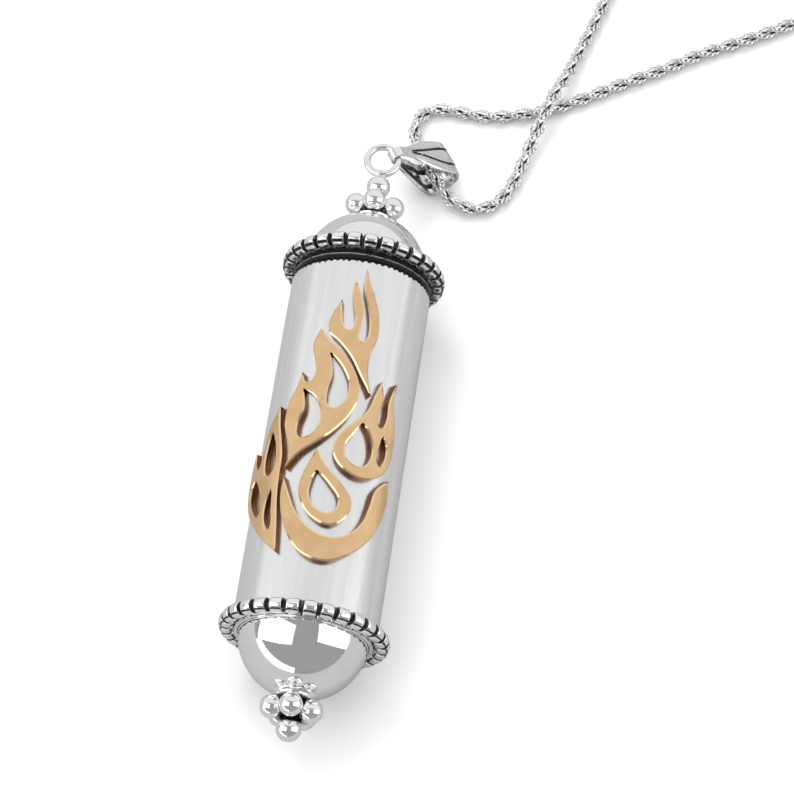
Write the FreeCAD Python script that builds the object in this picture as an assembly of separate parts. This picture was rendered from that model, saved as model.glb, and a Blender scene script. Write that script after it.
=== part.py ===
"""Pendant mezuzah case on a rope chain: a silver tube with domed ends, a screw cap and a gold flame.

Millimetres. The case lies on a table at z = 0 with its axis along Y, the hanging ring at the +Y end
and the flame uppermost. While it is built, y is measured from the middle of the tube; the last step
centres the case and its bail on the origin.
"""
import FreeCAD, Part
import math
import os

V = FreeCAD.Vector

# ---- case -------------------------------------------------------------------------------------
TUBE_R = 7.0            # outside radius of the tube
TUBE_WALL = 0.63
RING_PLANE = 19.5       # y of each beaded ring's plane, above and below the middle
FIT_GAP = 0.02          # soldered pieces stand this far apart
SEAM_GAP = 0.04         # open seam between the cap and the case's mouth
SINK = 0.02             # shapes that are joined into one solid run into each other by this

# ---- beaded rings -----------------------------------------------------------------------------
BEAD_COUNT = 30
BEAD_R = 0.78
BEAD_CORE_R = 0.45      # wire that joins the beads
SEAT_STEP = 0.3         # depth of the turned step that carries each beaded ring
SEAT_LENGTH = 1.4

# ---- domes and their ball trim ----------------------------------------------------------------
DOME_WALL = 0.6
DOME_SKIRT = 0.6
GRANULE_COUNT = 5
GRANULE_R = 1.15
NECK_R = 2.0
NECK_HEIGHT = 0.2       # of the neck above the dome's apex
PIN_R = 0.45
PIN_SOCKET = 0.9        # depth of the pin's hole in the end ball
TIP_BALL_R = 1.22
TIP_BALL_RISE = 1.8     # from the granules' plane to the ball's centre
STEM_BALL_R = 1.2
STEM_BALL_RISE = 2.6

# ---- screw cap --------------------------------------------------------------------------------
THREAD_PITCH = 1.0
THREAD_TURNS = 3.3
THREAD_CORE_R = 4.6
THREAD_DEPTH = 0.4
THREAD_ROOT_HALF = 0.32
THREAD_CREST_HALF = 0.12
THREAD_CLEARANCE = 0.06
THREAD_RUNOUT = 0.05    # from the plug's end to the foot of its thread
THREAD_SINK = 0.1       # depth to which the thread is rooted in the plug
FLANGE_THICKNESS = 0.52
PLUG_LENGTH = 4.3
PLUG_FLOOR = 0.8
PLUG_WALL = 0.7
WASHER_THICKNESS = 0.5
WASHER_CLEARANCE = 0.1
BUSH_LENGTH = 4.08

# ---- milled band at the mouth -----------------------------------------------------------------
BAND_LENGTH = 0.42
BAND_TEETH = 68
BAND_TOOTH = 0.16
BAND_TOOTH_SHARE = 0.8  # of the pitch that a tooth takes up
BAND_RELIEF = 0.18      # the band lies in a groove of this depth in the tube

# ---- flame ------------------------------------------------------------------------------------
FLAME_THICKNESS = 0.7
FLAME_SEAT = 0.03       # solder film under the flame
CURVE_REACH = 0.36      # of a chord that a smooth outline runs straight ahead at its points
TIP_REACH = 0.33        # the same at a sharp tip

# ---- scroll -----------------------------------------------------------------------------------
SCROLL_R = 2.8
SCROLL_CORE_R = 0.8
SCROLL_LENGTH = 30.0
SCROLL_END_GAP = 0.6    # from the bottom dome's skirt
SCROLL_TIE_WIDTH = 1.2
SCROLL_TIE_THICKNESS = 0.25

# ---- hanging ring and bail --------------------------------------------------------------------
HANG_RING_R = 1.6
HANG_WIRE_R = 0.35
BAIL_AZIMUTH = 33.0     # degrees from +X towards +Y
BAIL_REACH = 7.4        # from the ring's wire to the centre of the bail's wide end
BAIL_END_R = 2.2        # outside radius of the wide end, seen from the side
BAIL_BAND = 0.5
BAIL_PLAY = 0.15        # between the bail's neck and the wire that it goes round
BAIL_NECK_HALF = 0.55
BAIL_WIDE_HALF = 2.1
BAIL_SHOULDER = 0.11    # share of the reach at which the leaf starts to widen
BAIL_SHOULDER_RISE = 0.05
BAIL_FLARE = (0.57, 0.83)   # a point of the flare, as shares of the reach and of the wide half
BAIL_FRONT = 0.86       # half width at the front, as a share of the wide half
BAIL_MARGIN = 0.1       # by which the cutting outline stands clear of the band's ends

# ---- chain ------------------------------------------------------------------------------------
CHAIN_R = 0.75
CHAIN_Z = CHAIN_R + FIT_GAP
COIL_X, COIL_Y = 38.0, 77.0
COIL_TURN_PITCH = 1.5
COIL_MID_R = 9.0
COIL_LANES = 3          # turns side by side in each layer
COIL_LAYERS = 2
COIL_LIFT = 0.2         # room for the tie under the coil
COIL_TIE_THICKNESS = 0.15
COIL_TIE_WIDTH = 1.6
COIL_TIE_ANGLE = 235.0
COIL_EDGE = 0.6         # rounding of the wound chain's edges
BEND_SHARE = 0.45       # of the shorter run beside a bend that its arc takes up
END_CAP_R = 1.0
END_CAP_LENGTH = 2.6
END_CAP_SOCKET = 1.5
CAP_Z = END_CAP_R + FIT_GAP
EYE_R, EYE_WIRE_R = 0.65, 0.22
LINK_R, LINK_WIRE_R = 1.6, 0.3
LINK_PLAY = 0.03        # between a link and the eye that it pulls on

# ---- clasp ------------------------------------------------------------------------------------
CLASP_THICKNESS = 1.6
CLASP_LEVER_THICKNESS = 0.8
CLASP_SLOT_GAP = 0.05
CLASP_PIN_R = 0.3
CLASP_CENTRE = 4.2      # along the clasp, from its eye
CLASP_HALF_LENGTH = 3.6
CLASP_HALF_WIDTH = 2.2
CLASP_RIM = (1.5, 0.9)  # thickness of the hook at its ends and along its sides
CLASP_OPENING_SHIFT = 0.7
CLASP_EYE_R, CLASP_EYE_WIRE_R = 0.7, 0.25
CLASP_PIVOT = (2.15, 1.0)
CLASP_GATE = (3.2, 6.3) # where the hook is open along its side
CLASP_GATE_SIDE = 0.2   # from the clasp's middle line
CLASP_SLOT_START = 1.45 # where the slot for the lever's root starts
CLASP_LEVER_START = 1.7
CLASP_LEVER_SIDE = 0.45
CLASP_LEVER_GAP = 0.2   # between the lever's tip and the hook
CLASP_ROOT_R = 0.62     # round end of the lever on its pin
CLASP_TAB = (4.4, 2.35, 0.5)    # the lever's thumb tab: along, across, radius
CLASP_PIN_FIT = 0.01    # round the pin in the hook
CLASP_LEVER_FIT = 0.04  # round the pin in the lever

# Where the chain goes: (x, y, z) of each bend. Both strands start inside the bail.
CHAIN_NEAR = [
    (4.75, 36.15, 1.42), (6.15, 33.95, 1.42), (8.4, 32.5, 0.95), (11.2, 32.9, CHAIN_Z),
    (13.1, 35.3, CHAIN_Z), (14.0, 38.4, 0.85), (14.75, 41.3, 1.35), (15.6, 44.2, 2.4),
    (16.5, 47.2, 2.4), (17.55, 50.2, 1.35), (18.65, 54.0, CHAIN_Z), (20.1, 58.6, CHAIN_Z),
    (21.2, 63.4, CHAIN_Z), (21.9, 67.8, 0.85), (21.5, 71.6, CAP_Z), (20.4, 74.6, CAP_Z),
]
CHAIN_FAR = [
    (4.75, 36.15, 1.42), (3.55, 38.1, 1.42), (2.7, 39.8, 1.1), (2.15, 41.4, CHAIN_Z),
    (2.5, 43.2, CHAIN_Z), (4.0, 44.3, CHAIN_Z), (6.3, 44.3, CHAIN_Z), (9.6, 44.0, CHAIN_Z),
    (12.8, 44.7, CHAIN_Z), (16.0, 45.8, CHAIN_Z), (19.4, 47.6, CHAIN_Z), (23.3, 50.1, CHAIN_Z),
    (27.4, 52.4, CHAIN_Z), (31.4, 55.1, CHAIN_Z), (35.5, 57.2, CHAIN_Z), (39.8, 59.6, CHAIN_Z),
    (43.8, 62.3, CHAIN_Z), (46.8, 66.1, CHAIN_Z), (48.3, 70.8, 0.85), (48.5, 76.0, 0.95),
]
CHAIN_TAIL = [
    (38.0, 87.5, 2.45), (34.0, 88.0, 1.8), (30.2, 88.0, CAP_Z), (27.0, 87.4, CAP_Z),
]

# Outlines of the flame on the unrolled tube: (distance round the tube, y). A point with a third
# value is a sharp tip or notch; the curve runs smoothly through the others.
TIP = 1
FLAME = {
    "flame_crown": ([
        (0.85, 16.3, TIP), (1.8, 13.9), (2.6, 11.6), (2.8, 9.2), (2.35, 7.0), (2.5, 5.0),
        (3.0, 3.0, TIP), (1.85, 4.7), (0.7, 6.6), (-0.6, 8.1), (-1.65, 9.1), (-1.75, 10.6),
        (-0.95, 12.7, TIP), (-0.7, 11.0), (-0.35, 9.8), (0.2, 9.5), (0.5, 10.4), (0.15, 12.2),
        (-0.15, 13.6), (0.05, 14.9, TIP), (0.8, 13.2), (1.25, 11.4), (1.15, 9.7), (1.25, 8.5),
        (1.75, 8.7), (1.85, 10.3), (1.45, 12.2), (0.85, 14.2)], []),
    "flame_left": ([
        (-2.5, 9.5, TIP), (-1.4, 8.2), (0.0, 6.9), (1.3, 5.1), (1.95, 3.1), (1.6, 1.0),
        (0.5, -1.0), (-1.0, -2.6), (-2.6, -3.9), (-3.8, -5.4, TIP), (-3.7, -3.6), (-4.3, -1.8),
        (-4.75, -0.2), (-4.6, 1.7), (-4.0, 3.2), (-3.6, 4.8, TIP), (-3.0, 3.7), (-2.3, 4.6),
        (-2.6, 6.2), (-3.0, 7.8)],
        [[(-1.2, 6.9, TIP), (0.1, 5.4), (0.9, 3.6), (0.6, 1.7), (-0.5, 1.1), (-0.9, 2.7),
          (-0.7, 4.7)],
         [(-3.2, 3.0, TIP), (-1.9, 2.0), (-1.2, 0.2), (-1.5, -1.5), (-2.8, -2.2), (-3.2, -0.8),
          (-2.8, 0.9)]]),
    "flame_right": ([
        (5.5, 5.3, TIP), (5.55, 3.2), (6.05, 1.2), (6.3, -0.9), (6.15, -3.0), (5.2, -4.7),
        (3.6, -5.6), (1.9, -5.3), (0.7, -4.2), (0.4, -2.8), (1.0, -1.2), (2.1, 0.2), (3.0, 1.6),
        (3.4, 3.2), (3.9, 4.9, TIP), (4.3, 3.2), (4.15, 1.4), (4.45, 0.2), (4.95, 1.2),
        (4.95, 3.2)],
        [[(2.7, 0.1, TIP), (3.6, -1.2), (3.95, -3.0), (3.2, -4.4), (1.8, -4.0), (1.5, -2.6),
          (2.1, -1.2)],
         [(4.9, -0.5, TIP), (5.45, -1.9), (5.1, -3.6), (4.65, -3.2), (4.6, -1.9)]]),
    "flame_outer": ([
        (-5.6, 1.5, TIP), (-5.2, -0.6), (-4.75, -2.2), (-4.35, -4.0), (-4.3, -6.0), (-4.1, -8.5),
        (-3.7, -11.0), (-3.3, -14.1, TIP), (-4.9, -12.8), (-6.6, -11.1), (-8.2, -9.1),
        (-9.3, -6.8), (-9.4, -4.6), (-8.8, -2.6, TIP), (-8.2, -4.2), (-7.5, -4.6), (-7.1, -3.0),
        (-6.9, -1.2), (-6.3, 0.4)],
        [[(-6.1, -1.0, TIP), (-5.35, -3.0), (-5.2, -5.2), (-5.9, -5.8), (-6.4, -4.6), (-6.4, -2.9)],
         [(-7.8, -5.7, TIP), (-6.8, -7.1), (-6.2, -8.8), (-6.3, -10.0), (-7.2, -9.3), (-8.1, -7.9),
          (-8.3, -6.7)],
         [(-4.95, -7.2, TIP), (-4.75, -9.2), (-4.5, -11.6), (-5.15, -10.8), (-5.35, -9.0)]]),
    "flame_bowl": ([
        (6.35, -4.6, TIP), (6.6, -7.0), (6.0, -9.6), (4.7, -12.0), (3.0, -13.8), (1.2, -14.7),
        (-0.7, -14.3), (-2.1, -12.9), (-3.1, -10.9), (-3.7, -8.6), (-3.8, -6.2, TIP),
        (-3.0, -7.9), (-2.0, -9.9), (-0.6, -11.5), (1.2, -12.2), (2.9, -11.5), (4.1, -9.9),
        (4.6, -8.1), (5.0, -6.2)], []),
    "flame_heart": ([
        (-1.0, -3.4, TIP), (0.1, -5.0), (1.6, -6.5), (2.8, -8.1), (2.6, -9.8), (1.3, -11.0),
        (-0.3, -10.6), (-1.5, -9.3), (-2.1, -7.6), (-1.8, -5.6)],
        [[(-0.7, -5.6, TIP), (0.6, -6.9), (1.6, -8.3), (1.1, -9.7), (-0.2, -9.5), (-1.0, -8.3),
          (-1.0, -6.8)]]),
}

# ---- sizes that follow from the ones above ------------------------------------------------------
BORE_R = TUBE_R - TUBE_WALL
DOME_R = BORE_R - FIT_GAP
SEAT_R = TUBE_R - SEAT_STEP
BEAD_RING_R = SEAT_R + FIT_GAP + BEAD_R     # radius of the circle through the bead centres
# The lowest two beads of a ring stand half a pitch each side of its lowest point.
AXIS_Z = BEAD_RING_R * math.cos(math.pi / BEAD_COUNT) + BEAD_R
FLANGE_TOP = RING_PLANE - BEAD_R
MOUTH = FLANGE_TOP - FLANGE_THICKNESS
BUSH_TOP = MOUTH - WASHER_THICKNESS - FIT_GAP
NECK_TOP = RING_PLANE + DOME_R + NECK_HEIGHT
GRANULE_PLANE = NECK_TOP + GRANULE_R
GRANULE_RING_R = (GRANULE_R + FIT_GAP / 4) / math.sin(math.pi / GRANULE_COUNT)
STEM_BALL_Y = GRANULE_PLANE + STEM_BALL_RISE
TIP_BALL_Y = GRANULE_PLANE + TIP_BALL_RISE
HANG_Y = STEM_BALL_Y + STEM_BALL_R + HANG_RING_R + HANG_WIRE_R
BAIL_NECK_R = HANG_WIRE_R + BAIL_PLAY
THREAD_CREST_R = THREAD_CORE_R + THREAD_DEPTH
THREAD_START = MOUTH - PLUG_LENGTH + THREAD_ROOT_HALF + THREAD_RUNOUT
COIL_HALF = COIL_LANES * COIL_TURN_PITCH / 2
COIL_TOP = COIL_LIFT + COIL_LAYERS * COIL_TURN_PITCH
CLASP_Z = CLASP_THICKNESS / 2 + FIT_GAP
CLASP_EYE_Z = CLASP_EYE_R + CLASP_EYE_WIRE_R + FIT_GAP
NODES = {}


def lifted(shape):
    """Move a shape that was built about the Y axis up to the case's axis."""
    shape.translate(V(0, 0, AXIS_Z))
    return shape


def turned(outline):
    """Revolve a closed outline of (radius, y) points about the Y axis."""
    points = [V(r, y, 0) for r, y in outline]
    face = Part.Face(Part.makePolygon(points + points[:1]))
    return face.revolve(V(), V(0, 1, 0), 360)


def washer(outer, inner, low, high):
    """A ring of rectangular section between two y values."""
    return turned([(inner, low), (outer, low), (outer, high), (inner, high)])


def mirrored(shape):
    """The same piece for the other end of the case."""
    return shape.mirror(V(), V(0, 1, 0))


def torus_at(centre, ring_r, wire_r, normal):
    """A wire ring with its hole along the normal."""
    return Part.makeTorus(ring_r, wire_r, centre, normal)


# ---- case pieces ------------------------------------------------------------------------------
def bead_ring():
    """Beads in a circle, joined by short lengths of core wire, for the +Y end."""
    centres = []
    for i in range(BEAD_COUNT):
        turn = 2 * math.pi * (i + 0.5) / BEAD_COUNT
        centres.append(V(BEAD_RING_R * math.sin(turn), RING_PLANE, BEAD_RING_R * math.cos(turn)))
    pieces = []
    for here, there in zip(centres, centres[1:] + centres[:1]):
        way = there - here
        pieces.append(Part.makeSphere(BEAD_R, here, V(here.z, 0, -here.x)))
        pieces.append(Part.makeCylinder(BEAD_CORE_R, way.Length, here, way))
    return pieces[0].fuse(pieces[1:])


def dome():
    """A thin hemisphere with a short skirt, for the +Y end."""
    def shell(radius, skirt):
        apex = V(0, RING_PLANE + radius, 0)
        mid = V(radius * math.sin(math.pi / 4), RING_PLANE + radius * math.cos(math.pi / 4), 0)
        rim, low = V(radius, RING_PLANE, 0), V(radius, RING_PLANE - skirt, 0)
        base = V(0, RING_PLANE - skirt, 0)
        edges = [Part.Arc(apex, mid, rim).toShape(), Part.makeLine(rim, low),
                 Part.makeLine(low, base), Part.makeLine(base, apex)]
        return Part.Face(Part.Wire(edges)).revolve(V(), V(0, 1, 0), 360)
    return shell(DOME_R, DOME_SKIRT).cut(shell(DOME_R - DOME_WALL, DOME_SKIRT + 1))


def neck():
    """The small collar between a dome and its granules."""
    collar = Part.makeCylinder(NECK_R, NECK_TOP - RING_PLANE, V(0, RING_PLANE, 0), V(0, 1, 0))
    return collar.cut(Part.makeSphere(DOME_R + FIT_GAP / 2, V(0, RING_PLANE, 0)))


def granules():
    """Five balls in a ring on the neck, one of them uppermost."""
    balls = []
    for i in range(GRANULE_COUNT):
        turn = 2 * math.pi * i / GRANULE_COUNT
        centre = V(GRANULE_RING_R * math.sin(turn), GRANULE_PLANE, GRANULE_RING_R * math.cos(turn))
        balls.append(Part.makeSphere(GRANULE_R, centre))
    return Part.makeCompound(balls)


def end_ball(ball_y, ball_r):
    """The ball at an end, with a blind hole for its pin."""
    hole_floor = ball_y - ball_r + PIN_SOCKET
    hole = Part.makeCylinder(PIN_R + FIT_GAP, 2 * ball_r, V(0, hole_floor - 2 * ball_r, 0), V(0, 1, 0))
    return Part.makeSphere(ball_r, V(0, ball_y, 0)).cut(hole)


def ball_pin(ball_y, ball_r):
    """The pin from the neck into an end ball."""
    length = ball_y - ball_r + PIN_SOCKET - FIT_GAP - NECK_TOP
    return Part.makeCylinder(PIN_R, length, V(0, NECK_TOP, 0), V(0, 1, 0))


def case_tube():
    """The tube: a stepped foot for the lower beaded ring and a groove for the milled band."""
    foot = -RING_PLANE + BEAD_R
    foot_end = foot - SEAT_LENGTH
    mouth = MOUTH - SEAM_GAP
    band_low = mouth - BAND_LENGTH - BAND_TOOTH
    groove_r = TUBE_R - BAND_RELIEF
    return turned([(BORE_R, foot_end), (SEAT_R, foot_end), (SEAT_R, foot), (TUBE_R, foot),
                   (TUBE_R, band_low), (groove_r, band_low), (groove_r, mouth), (BORE_R, mouth)])


def mouth_band():
    """The dark milled band round the mouth, with a toothed lower edge."""
    high = MOUTH - SEAM_GAP
    low = high - BAND_LENGTH
    inner = TUBE_R - BAND_RELIEF + FIT_GAP
    band = washer(TUBE_R, inner, low, high)
    half = math.pi * TUBE_R / BAND_TEETH * BAND_TOOTH_SHARE
    root = low + SINK / 2
    tooth = Part.Face(Part.makePolygon([
        V(-half, root, 0), V(0, root - BAND_TOOTH + FIT_GAP, 0), V(half, root, 0), V(-half, root, 0)]))
    tooth.translate(V(0, 0, inner + SINK))
    solid = tooth.extrude(V(0, 0, TUBE_R - inner - 2 * SINK))
    teeth = []
    for i in range(BAND_TEETH):
        copy = solid.copy()
        copy.rotate(V(), V(0, 1, 0), 360.0 * i / BAND_TEETH)
        teeth.append(copy)
    return band.fuse(teeth)


def thread_ridge(low, turns, root_half, crest_half, root_r, crest_r):
    """A helical ridge of trapezium section about Y, from y = low upwards."""
    helix = Part.makeHelix(THREAD_PITCH, turns * THREAD_PITCH, root_r)
    foot_r = root_r - THREAD_SINK
    profile = Part.makePolygon([
        V(foot_r, 0, -root_half), V(crest_r, 0, -crest_half),
        V(crest_r, 0, crest_half), V(foot_r, 0, root_half), V(foot_r, 0, -root_half)])
    ridge = Part.Wire(helix.Edges).makePipeShell([profile], True, True)
    ridge.rotate(V(), V(1, 0, 0), -90)
    ridge.translate(V(0, low, 0))
    return ridge


def cap_plug():
    """The cap's flange, its seat for the beaded ring and its threaded plug, one turned piece."""
    plug_low = MOUTH - PLUG_LENGTH
    seat_top = FLANGE_TOP + SEAT_LENGTH
    dome_floor = RING_PLANE - DOME_SKIRT - FIT_GAP
    pocket_r = THREAD_CORE_R - PLUG_WALL
    body = turned([(0, plug_low), (THREAD_CORE_R, plug_low), (THREAD_CORE_R, MOUTH), (TUBE_R, MOUTH),
                   (TUBE_R, FLANGE_TOP), (SEAT_R, FLANGE_TOP), (SEAT_R, seat_top),
                   (BORE_R, seat_top), (BORE_R, dome_floor), (pocket_r, dome_floor),
                   (pocket_r, plug_low + PLUG_FLOOR), (0, plug_low + PLUG_FLOOR)])
    ridge = thread_ridge(THREAD_START, THREAD_TURNS - 2 * THREAD_ROOT_HALF / THREAD_PITCH,
                         THREAD_ROOT_HALF, THREAD_CREST_HALF, THREAD_CORE_R, THREAD_CREST_R)
    return body.fuse(ridge)


def thread_bush():
    """The threaded bush in the tube's mouth, its groove in step with the plug's thread."""
    low = BUSH_TOP - BUSH_LENGTH
    root_half = THREAD_ROOT_HALF + THREAD_CLEARANCE
    lead = math.ceil((THREAD_START - low + root_half) / THREAD_PITCH)
    start = THREAD_START - lead * THREAD_PITCH
    turns = math.ceil((BUSH_TOP + root_half - start) / THREAD_PITCH)
    groove = thread_ridge(start, turns, root_half, THREAD_CREST_HALF + THREAD_CLEARANCE,
                          THREAD_CORE_R, THREAD_CREST_R + THREAD_CLEARANCE)
    bore = Part.makeCylinder(THREAD_CORE_R + THREAD_CLEARANCE, (turns + 2) * THREAD_PITCH,
                             V(0, start - THREAD_PITCH, 0), V(0, 1, 0))
    blank = Part.makeCylinder(BORE_R - FIT_GAP, BUSH_LENGTH, V(0, low, 0), V(0, 1, 0))
    return blank.cut(bore.fuse(groove))


def seal_washer():
    """The washer that the cap's flange closes on."""
    return washer(BORE_R - WASHER_CLEARANCE, THREAD_CORE_R + WASHER_CLEARANCE,
                  MOUTH - WASHER_THICKNESS, MOUTH - FIT_GAP)


def flame_piece(outline, holes):
    """One piece of the flame, cut from a curved sheet that lies on the tube."""
    middle = sum(point[0] for point in outline) / len(outline)

    def flat(point):
        """Place a point of the unrolled outline on the plane that faces the piece."""
        return V(TUBE_R * math.sin((point[0] - middle) / TUBE_R), point[1], 0)

    def loop(points):
        """A closed wire of Bezier curves through the points, sharp where they say so."""
        def heading(i):
            before, after = points[i - 1], points[(i + 1) % len(points)]
            way = V(after[0] - before[0], after[1] - before[1], 0)
            return way.normalize()
        edges = []
        for i, here in enumerate(points):
            there = points[(i + 1) % len(points)]
            chord = V(there[0] - here[0], there[1] - here[1], 0)
            reach = CURVE_REACH * chord.Length
            leave = chord * TIP_REACH if len(here) > 2 else heading(i) * reach
            arrive = (chord * TIP_REACH if len(there) > 2
                      else heading((i + 1) % len(points)) * reach)
            curve = Part.BezierCurve()
            curve.setPoles([flat(here), flat((here[0] + leave.x, here[1] + leave.y)),
                            flat((there[0] - arrive.x, there[1] - arrive.y)), flat(there)])
            edges.append(curve.toShape())
        return Part.Wire(edges)

    solid = Part.Face(loop(outline)).extrude(V(0, 0, 2 * TUBE_R))
    for hole in holes:
        solid = solid.cut(Part.Face(loop(hole)).extrude(V(0, 0, 2 * TUBE_R)))
    sheet = washer(TUBE_R + FLAME_THICKNESS, TUBE_R + FLAME_SEAT, -RING_PLANE, RING_PLANE)
    solid = solid.common(sheet)
    solid.rotate(V(), V(0, 1, 0), math.degrees(middle / TUBE_R))
    return lifted(solid)


def scroll():
    """The rolled parchment and its tie, lying in the bore."""
    rest = BORE_R - SCROLL_R - SCROLL_TIE_THICKNESS - FIT_GAP
    low = -RING_PLANE + DOME_SKIRT + SCROLL_END_GAP
    middle = low + SCROLL_LENGTH / 2
    roll = washer(SCROLL_R, SCROLL_CORE_R, low, low + SCROLL_LENGTH)
    tie = washer(SCROLL_R + SCROLL_TIE_THICKNESS, SCROLL_R + FIT_GAP / 2,
                 middle - SCROLL_TIE_WIDTH / 2, middle + SCROLL_TIE_WIDTH / 2)
    for piece in (roll, tie):
        piece.translate(V(0, 0, -rest))
    return lifted(roll), lifted(tie)


# ---- bail -------------------------------------------------------------------------------------
def teardrop(small_r, large_r, reach, width):
    """A prism of teardrop outline in the XZ plane, pointed end at the origin, centred on y = 0."""
    tilt = math.asin((large_r - small_r) / reach)

    def on_circle(x, radius, angle):
        return V(x + radius * math.cos(angle), -width / 2, radius * math.sin(angle))

    up = math.pi / 2 + tilt
    small_up, small_down = on_circle(0, small_r, up), on_circle(0, small_r, -up)
    large_up, large_down = on_circle(reach, large_r, up), on_circle(reach, large_r, -up)
    edges = [Part.makeLine(small_up, large_up),
             Part.Arc(large_up, on_circle(reach, large_r, 0), large_down).toShape(),
             Part.makeLine(large_down, small_down),
             Part.Arc(small_down, on_circle(0, small_r, math.pi), small_up).toShape()]
    return Part.Face(Part.Wire(edges)).extrude(V(0, width, 0))


def bail():
    """A band looped round the hanging ring's wire, narrow at the neck and wide at the far end."""
    width = 2 * BAIL_WIDE_HALF + 2
    loop = teardrop(BAIL_NECK_R + BAIL_BAND, BAIL_END_R, BAIL_REACH, width)
    loop = loop.cut(teardrop(BAIL_NECK_R, BAIL_END_R - BAIL_BAND, BAIL_REACH, width + 2))
    back = -BAIL_NECK_R - BAIL_BAND - BAIL_MARGIN
    front = BAIL_REACH + BAIL_END_R + BAIL_MARGIN
    side = [(back, BAIL_NECK_HALF),
            (BAIL_SHOULDER * BAIL_REACH, BAIL_NECK_HALF + BAIL_SHOULDER_RISE),
            (BAIL_FLARE[0] * BAIL_REACH, BAIL_FLARE[1] * BAIL_WIDE_HALF),
            (BAIL_REACH, BAIL_WIDE_HALF),
            (front, BAIL_FRONT * BAIL_WIDE_HALF)]
    heel, shoulder, flare, wide, tip = [V(x, y, 0) for x, y in side]
    heel2, shoulder2, flare2, wide2, tip2 = [V(x, -y, 0) for x, y in side]
    leaf = Part.Wire([
        Part.makeLine(heel2, heel), Part.makeLine(heel, shoulder),
        Part.Arc(shoulder, flare, wide).toShape(), Part.makeLine(wide, tip),
        Part.makeLine(tip, tip2), Part.makeLine(tip2, wide2),
        Part.Arc(wide2, flare2, shoulder2).toShape(), Part.makeLine(shoulder2, heel2)])
    envelope = Part.Face(leaf).extrude(V(0, 0, 4 * BAIL_END_R))
    envelope.translate(V(0, 0, -2 * BAIL_END_R))
    band = loop.common(envelope)
    drop = math.degrees(math.asin((AXIS_Z - BAIL_END_R - FIT_GAP) / BAIL_REACH))
    band.rotate(V(), V(0, 1, 0), drop)
    band.translate(V(HANG_RING_R, 0, 0))
    band.rotate(V(), V(0, 0, 1), BAIL_AZIMUTH)
    band.translate(V(0, HANG_Y, AXIS_Z))
    return band


# ---- chain ------------------------------------------------------------------------------------
def chain_tube(name, points):
    """A round tube along straight runs joined by tangent arcs; prints its length and radii."""
    corners = [V(*p) for p in points]
    edges, radii, last, length = [], [], corners[0], 0.0
    for before, corner, after in zip(corners, corners[1:], corners[2:]):
        back, ahead = (before - corner), (after - corner)
        shorter = min(back.Length, ahead.Length)
        back.normalize()
        ahead.normalize()
        half_turn = (math.pi - back.getAngle(ahead)) / 2
        trim = BEND_SHARE * shorter
        radius = trim / math.tan(half_turn)
        start, end = corner + back * trim, corner + ahead * trim
        inward = (back + ahead).normalize()
        middle = corner + inward * (radius / math.cos(half_turn) - radius)
        edges += [Part.LineSegment(last, start).toShape(), Part.Arc(start, middle, end).toShape()]
        length += (start - last).Length + radius * 2 * half_turn
        radii.append(round(radius, 1))
        last = end
    edges.append(Part.LineSegment(last, corners[-1]).toShape())
    length += (corners[-1] - last).Length
    path = Part.Wire(edges)
    section = Part.Wire(Part.makeCircle(CHAIN_R, corners[0], corners[1] - corners[0]))
    tube = path.makePipeShell([section], True, True)
    expected = math.pi * CHAIN_R ** 2 * length
    print(f"{name}: length {length:.1f} mm, volume {tube.Volume / expected:.4f} of section x length,"
          f" radii {radii}")
    return tube, length


def coil():
    """The closed shape of the wound chain."""
    outer, inner = COIL_MID_R + COIL_HALF, COIL_MID_R - COIL_HALF
    ring = Part.makeCylinder(outer, COIL_TOP - COIL_LIFT, V(COIL_X, COIL_Y, COIL_LIFT))
    ring = ring.cut(Part.makeCylinder(inner, COIL_TOP, V(COIL_X, COIL_Y, 0)))
    rims = [e for e in ring.Edges if len(e.Vertexes) == 1]
    return ring.makeFillet(COIL_EDGE, rims)


def coil_tie():
    """A narrow strip closed round the coil, clear of the coil's round inside."""
    outer = COIL_MID_R + COIL_HALF + FIT_GAP
    inner = math.sqrt((COIL_MID_R - COIL_HALF) ** 2 - (COIL_TIE_WIDTH / 2) ** 2) - FIT_GAP

    def block(grow):
        box = Part.makeBox(outer - inner + 2 * grow, COIL_TIE_WIDTH,
                           COIL_TOP - COIL_LIFT + 2 * (FIT_GAP + grow))
        box.translate(V(inner - grow, -COIL_TIE_WIDTH / 2, COIL_LIFT - FIT_GAP - grow))
        return box

    strip = block(COIL_TIE_THICKNESS).cut(block(0))
    strip.rotate(V(), V(0, 0, 1), COIL_TIE_ANGLE)
    strip.translate(V(COIL_X, COIL_Y, 0))
    return strip


def end_cap(points):
    """A cup on the end of a strand, with an eye on its closed end."""
    end, before = V(*points[-1]), V(*points[-2])
    way = (end - before).normalize()
    cup = Part.makeCylinder(END_CAP_R, END_CAP_LENGTH, end - way * END_CAP_SOCKET, way)
    cup = cup.cut(Part.makeCylinder(CHAIN_R + FIT_GAP, END_CAP_SOCKET + FIT_GAP,
                                    end - way * END_CAP_SOCKET, way))
    flat = V(way.x, way.y, 0).normalize()
    side = V(-flat.y, flat.x, 0)
    eye_centre = end + way * (END_CAP_LENGTH - END_CAP_SOCKET) + flat * (EYE_R + EYE_WIRE_R / 2)
    eye = torus_at(eye_centre, EYE_R, EYE_WIRE_R, side)
    return cup.fuse(eye), eye_centre, flat


def end_link(eye_centre, flat, far_z):
    """A wire ring through an end cap's eye, the wire of its far side at a height of far_z."""
    hook = eye_centre + flat * (EYE_R - EYE_WIRE_R - LINK_WIRE_R - LINK_PLAY)
    tilt = math.asin((hook.z - far_z) / (2 * LINK_R))
    ahead = flat * math.cos(tilt) - V(0, 0, 1) * math.sin(tilt)
    normal = flat * math.sin(tilt) + V(0, 0, 1) * math.cos(tilt)
    return torus_at(hook + ahead * LINK_R, LINK_R, LINK_WIRE_R, normal), hook + ahead * 2 * LINK_R


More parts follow.
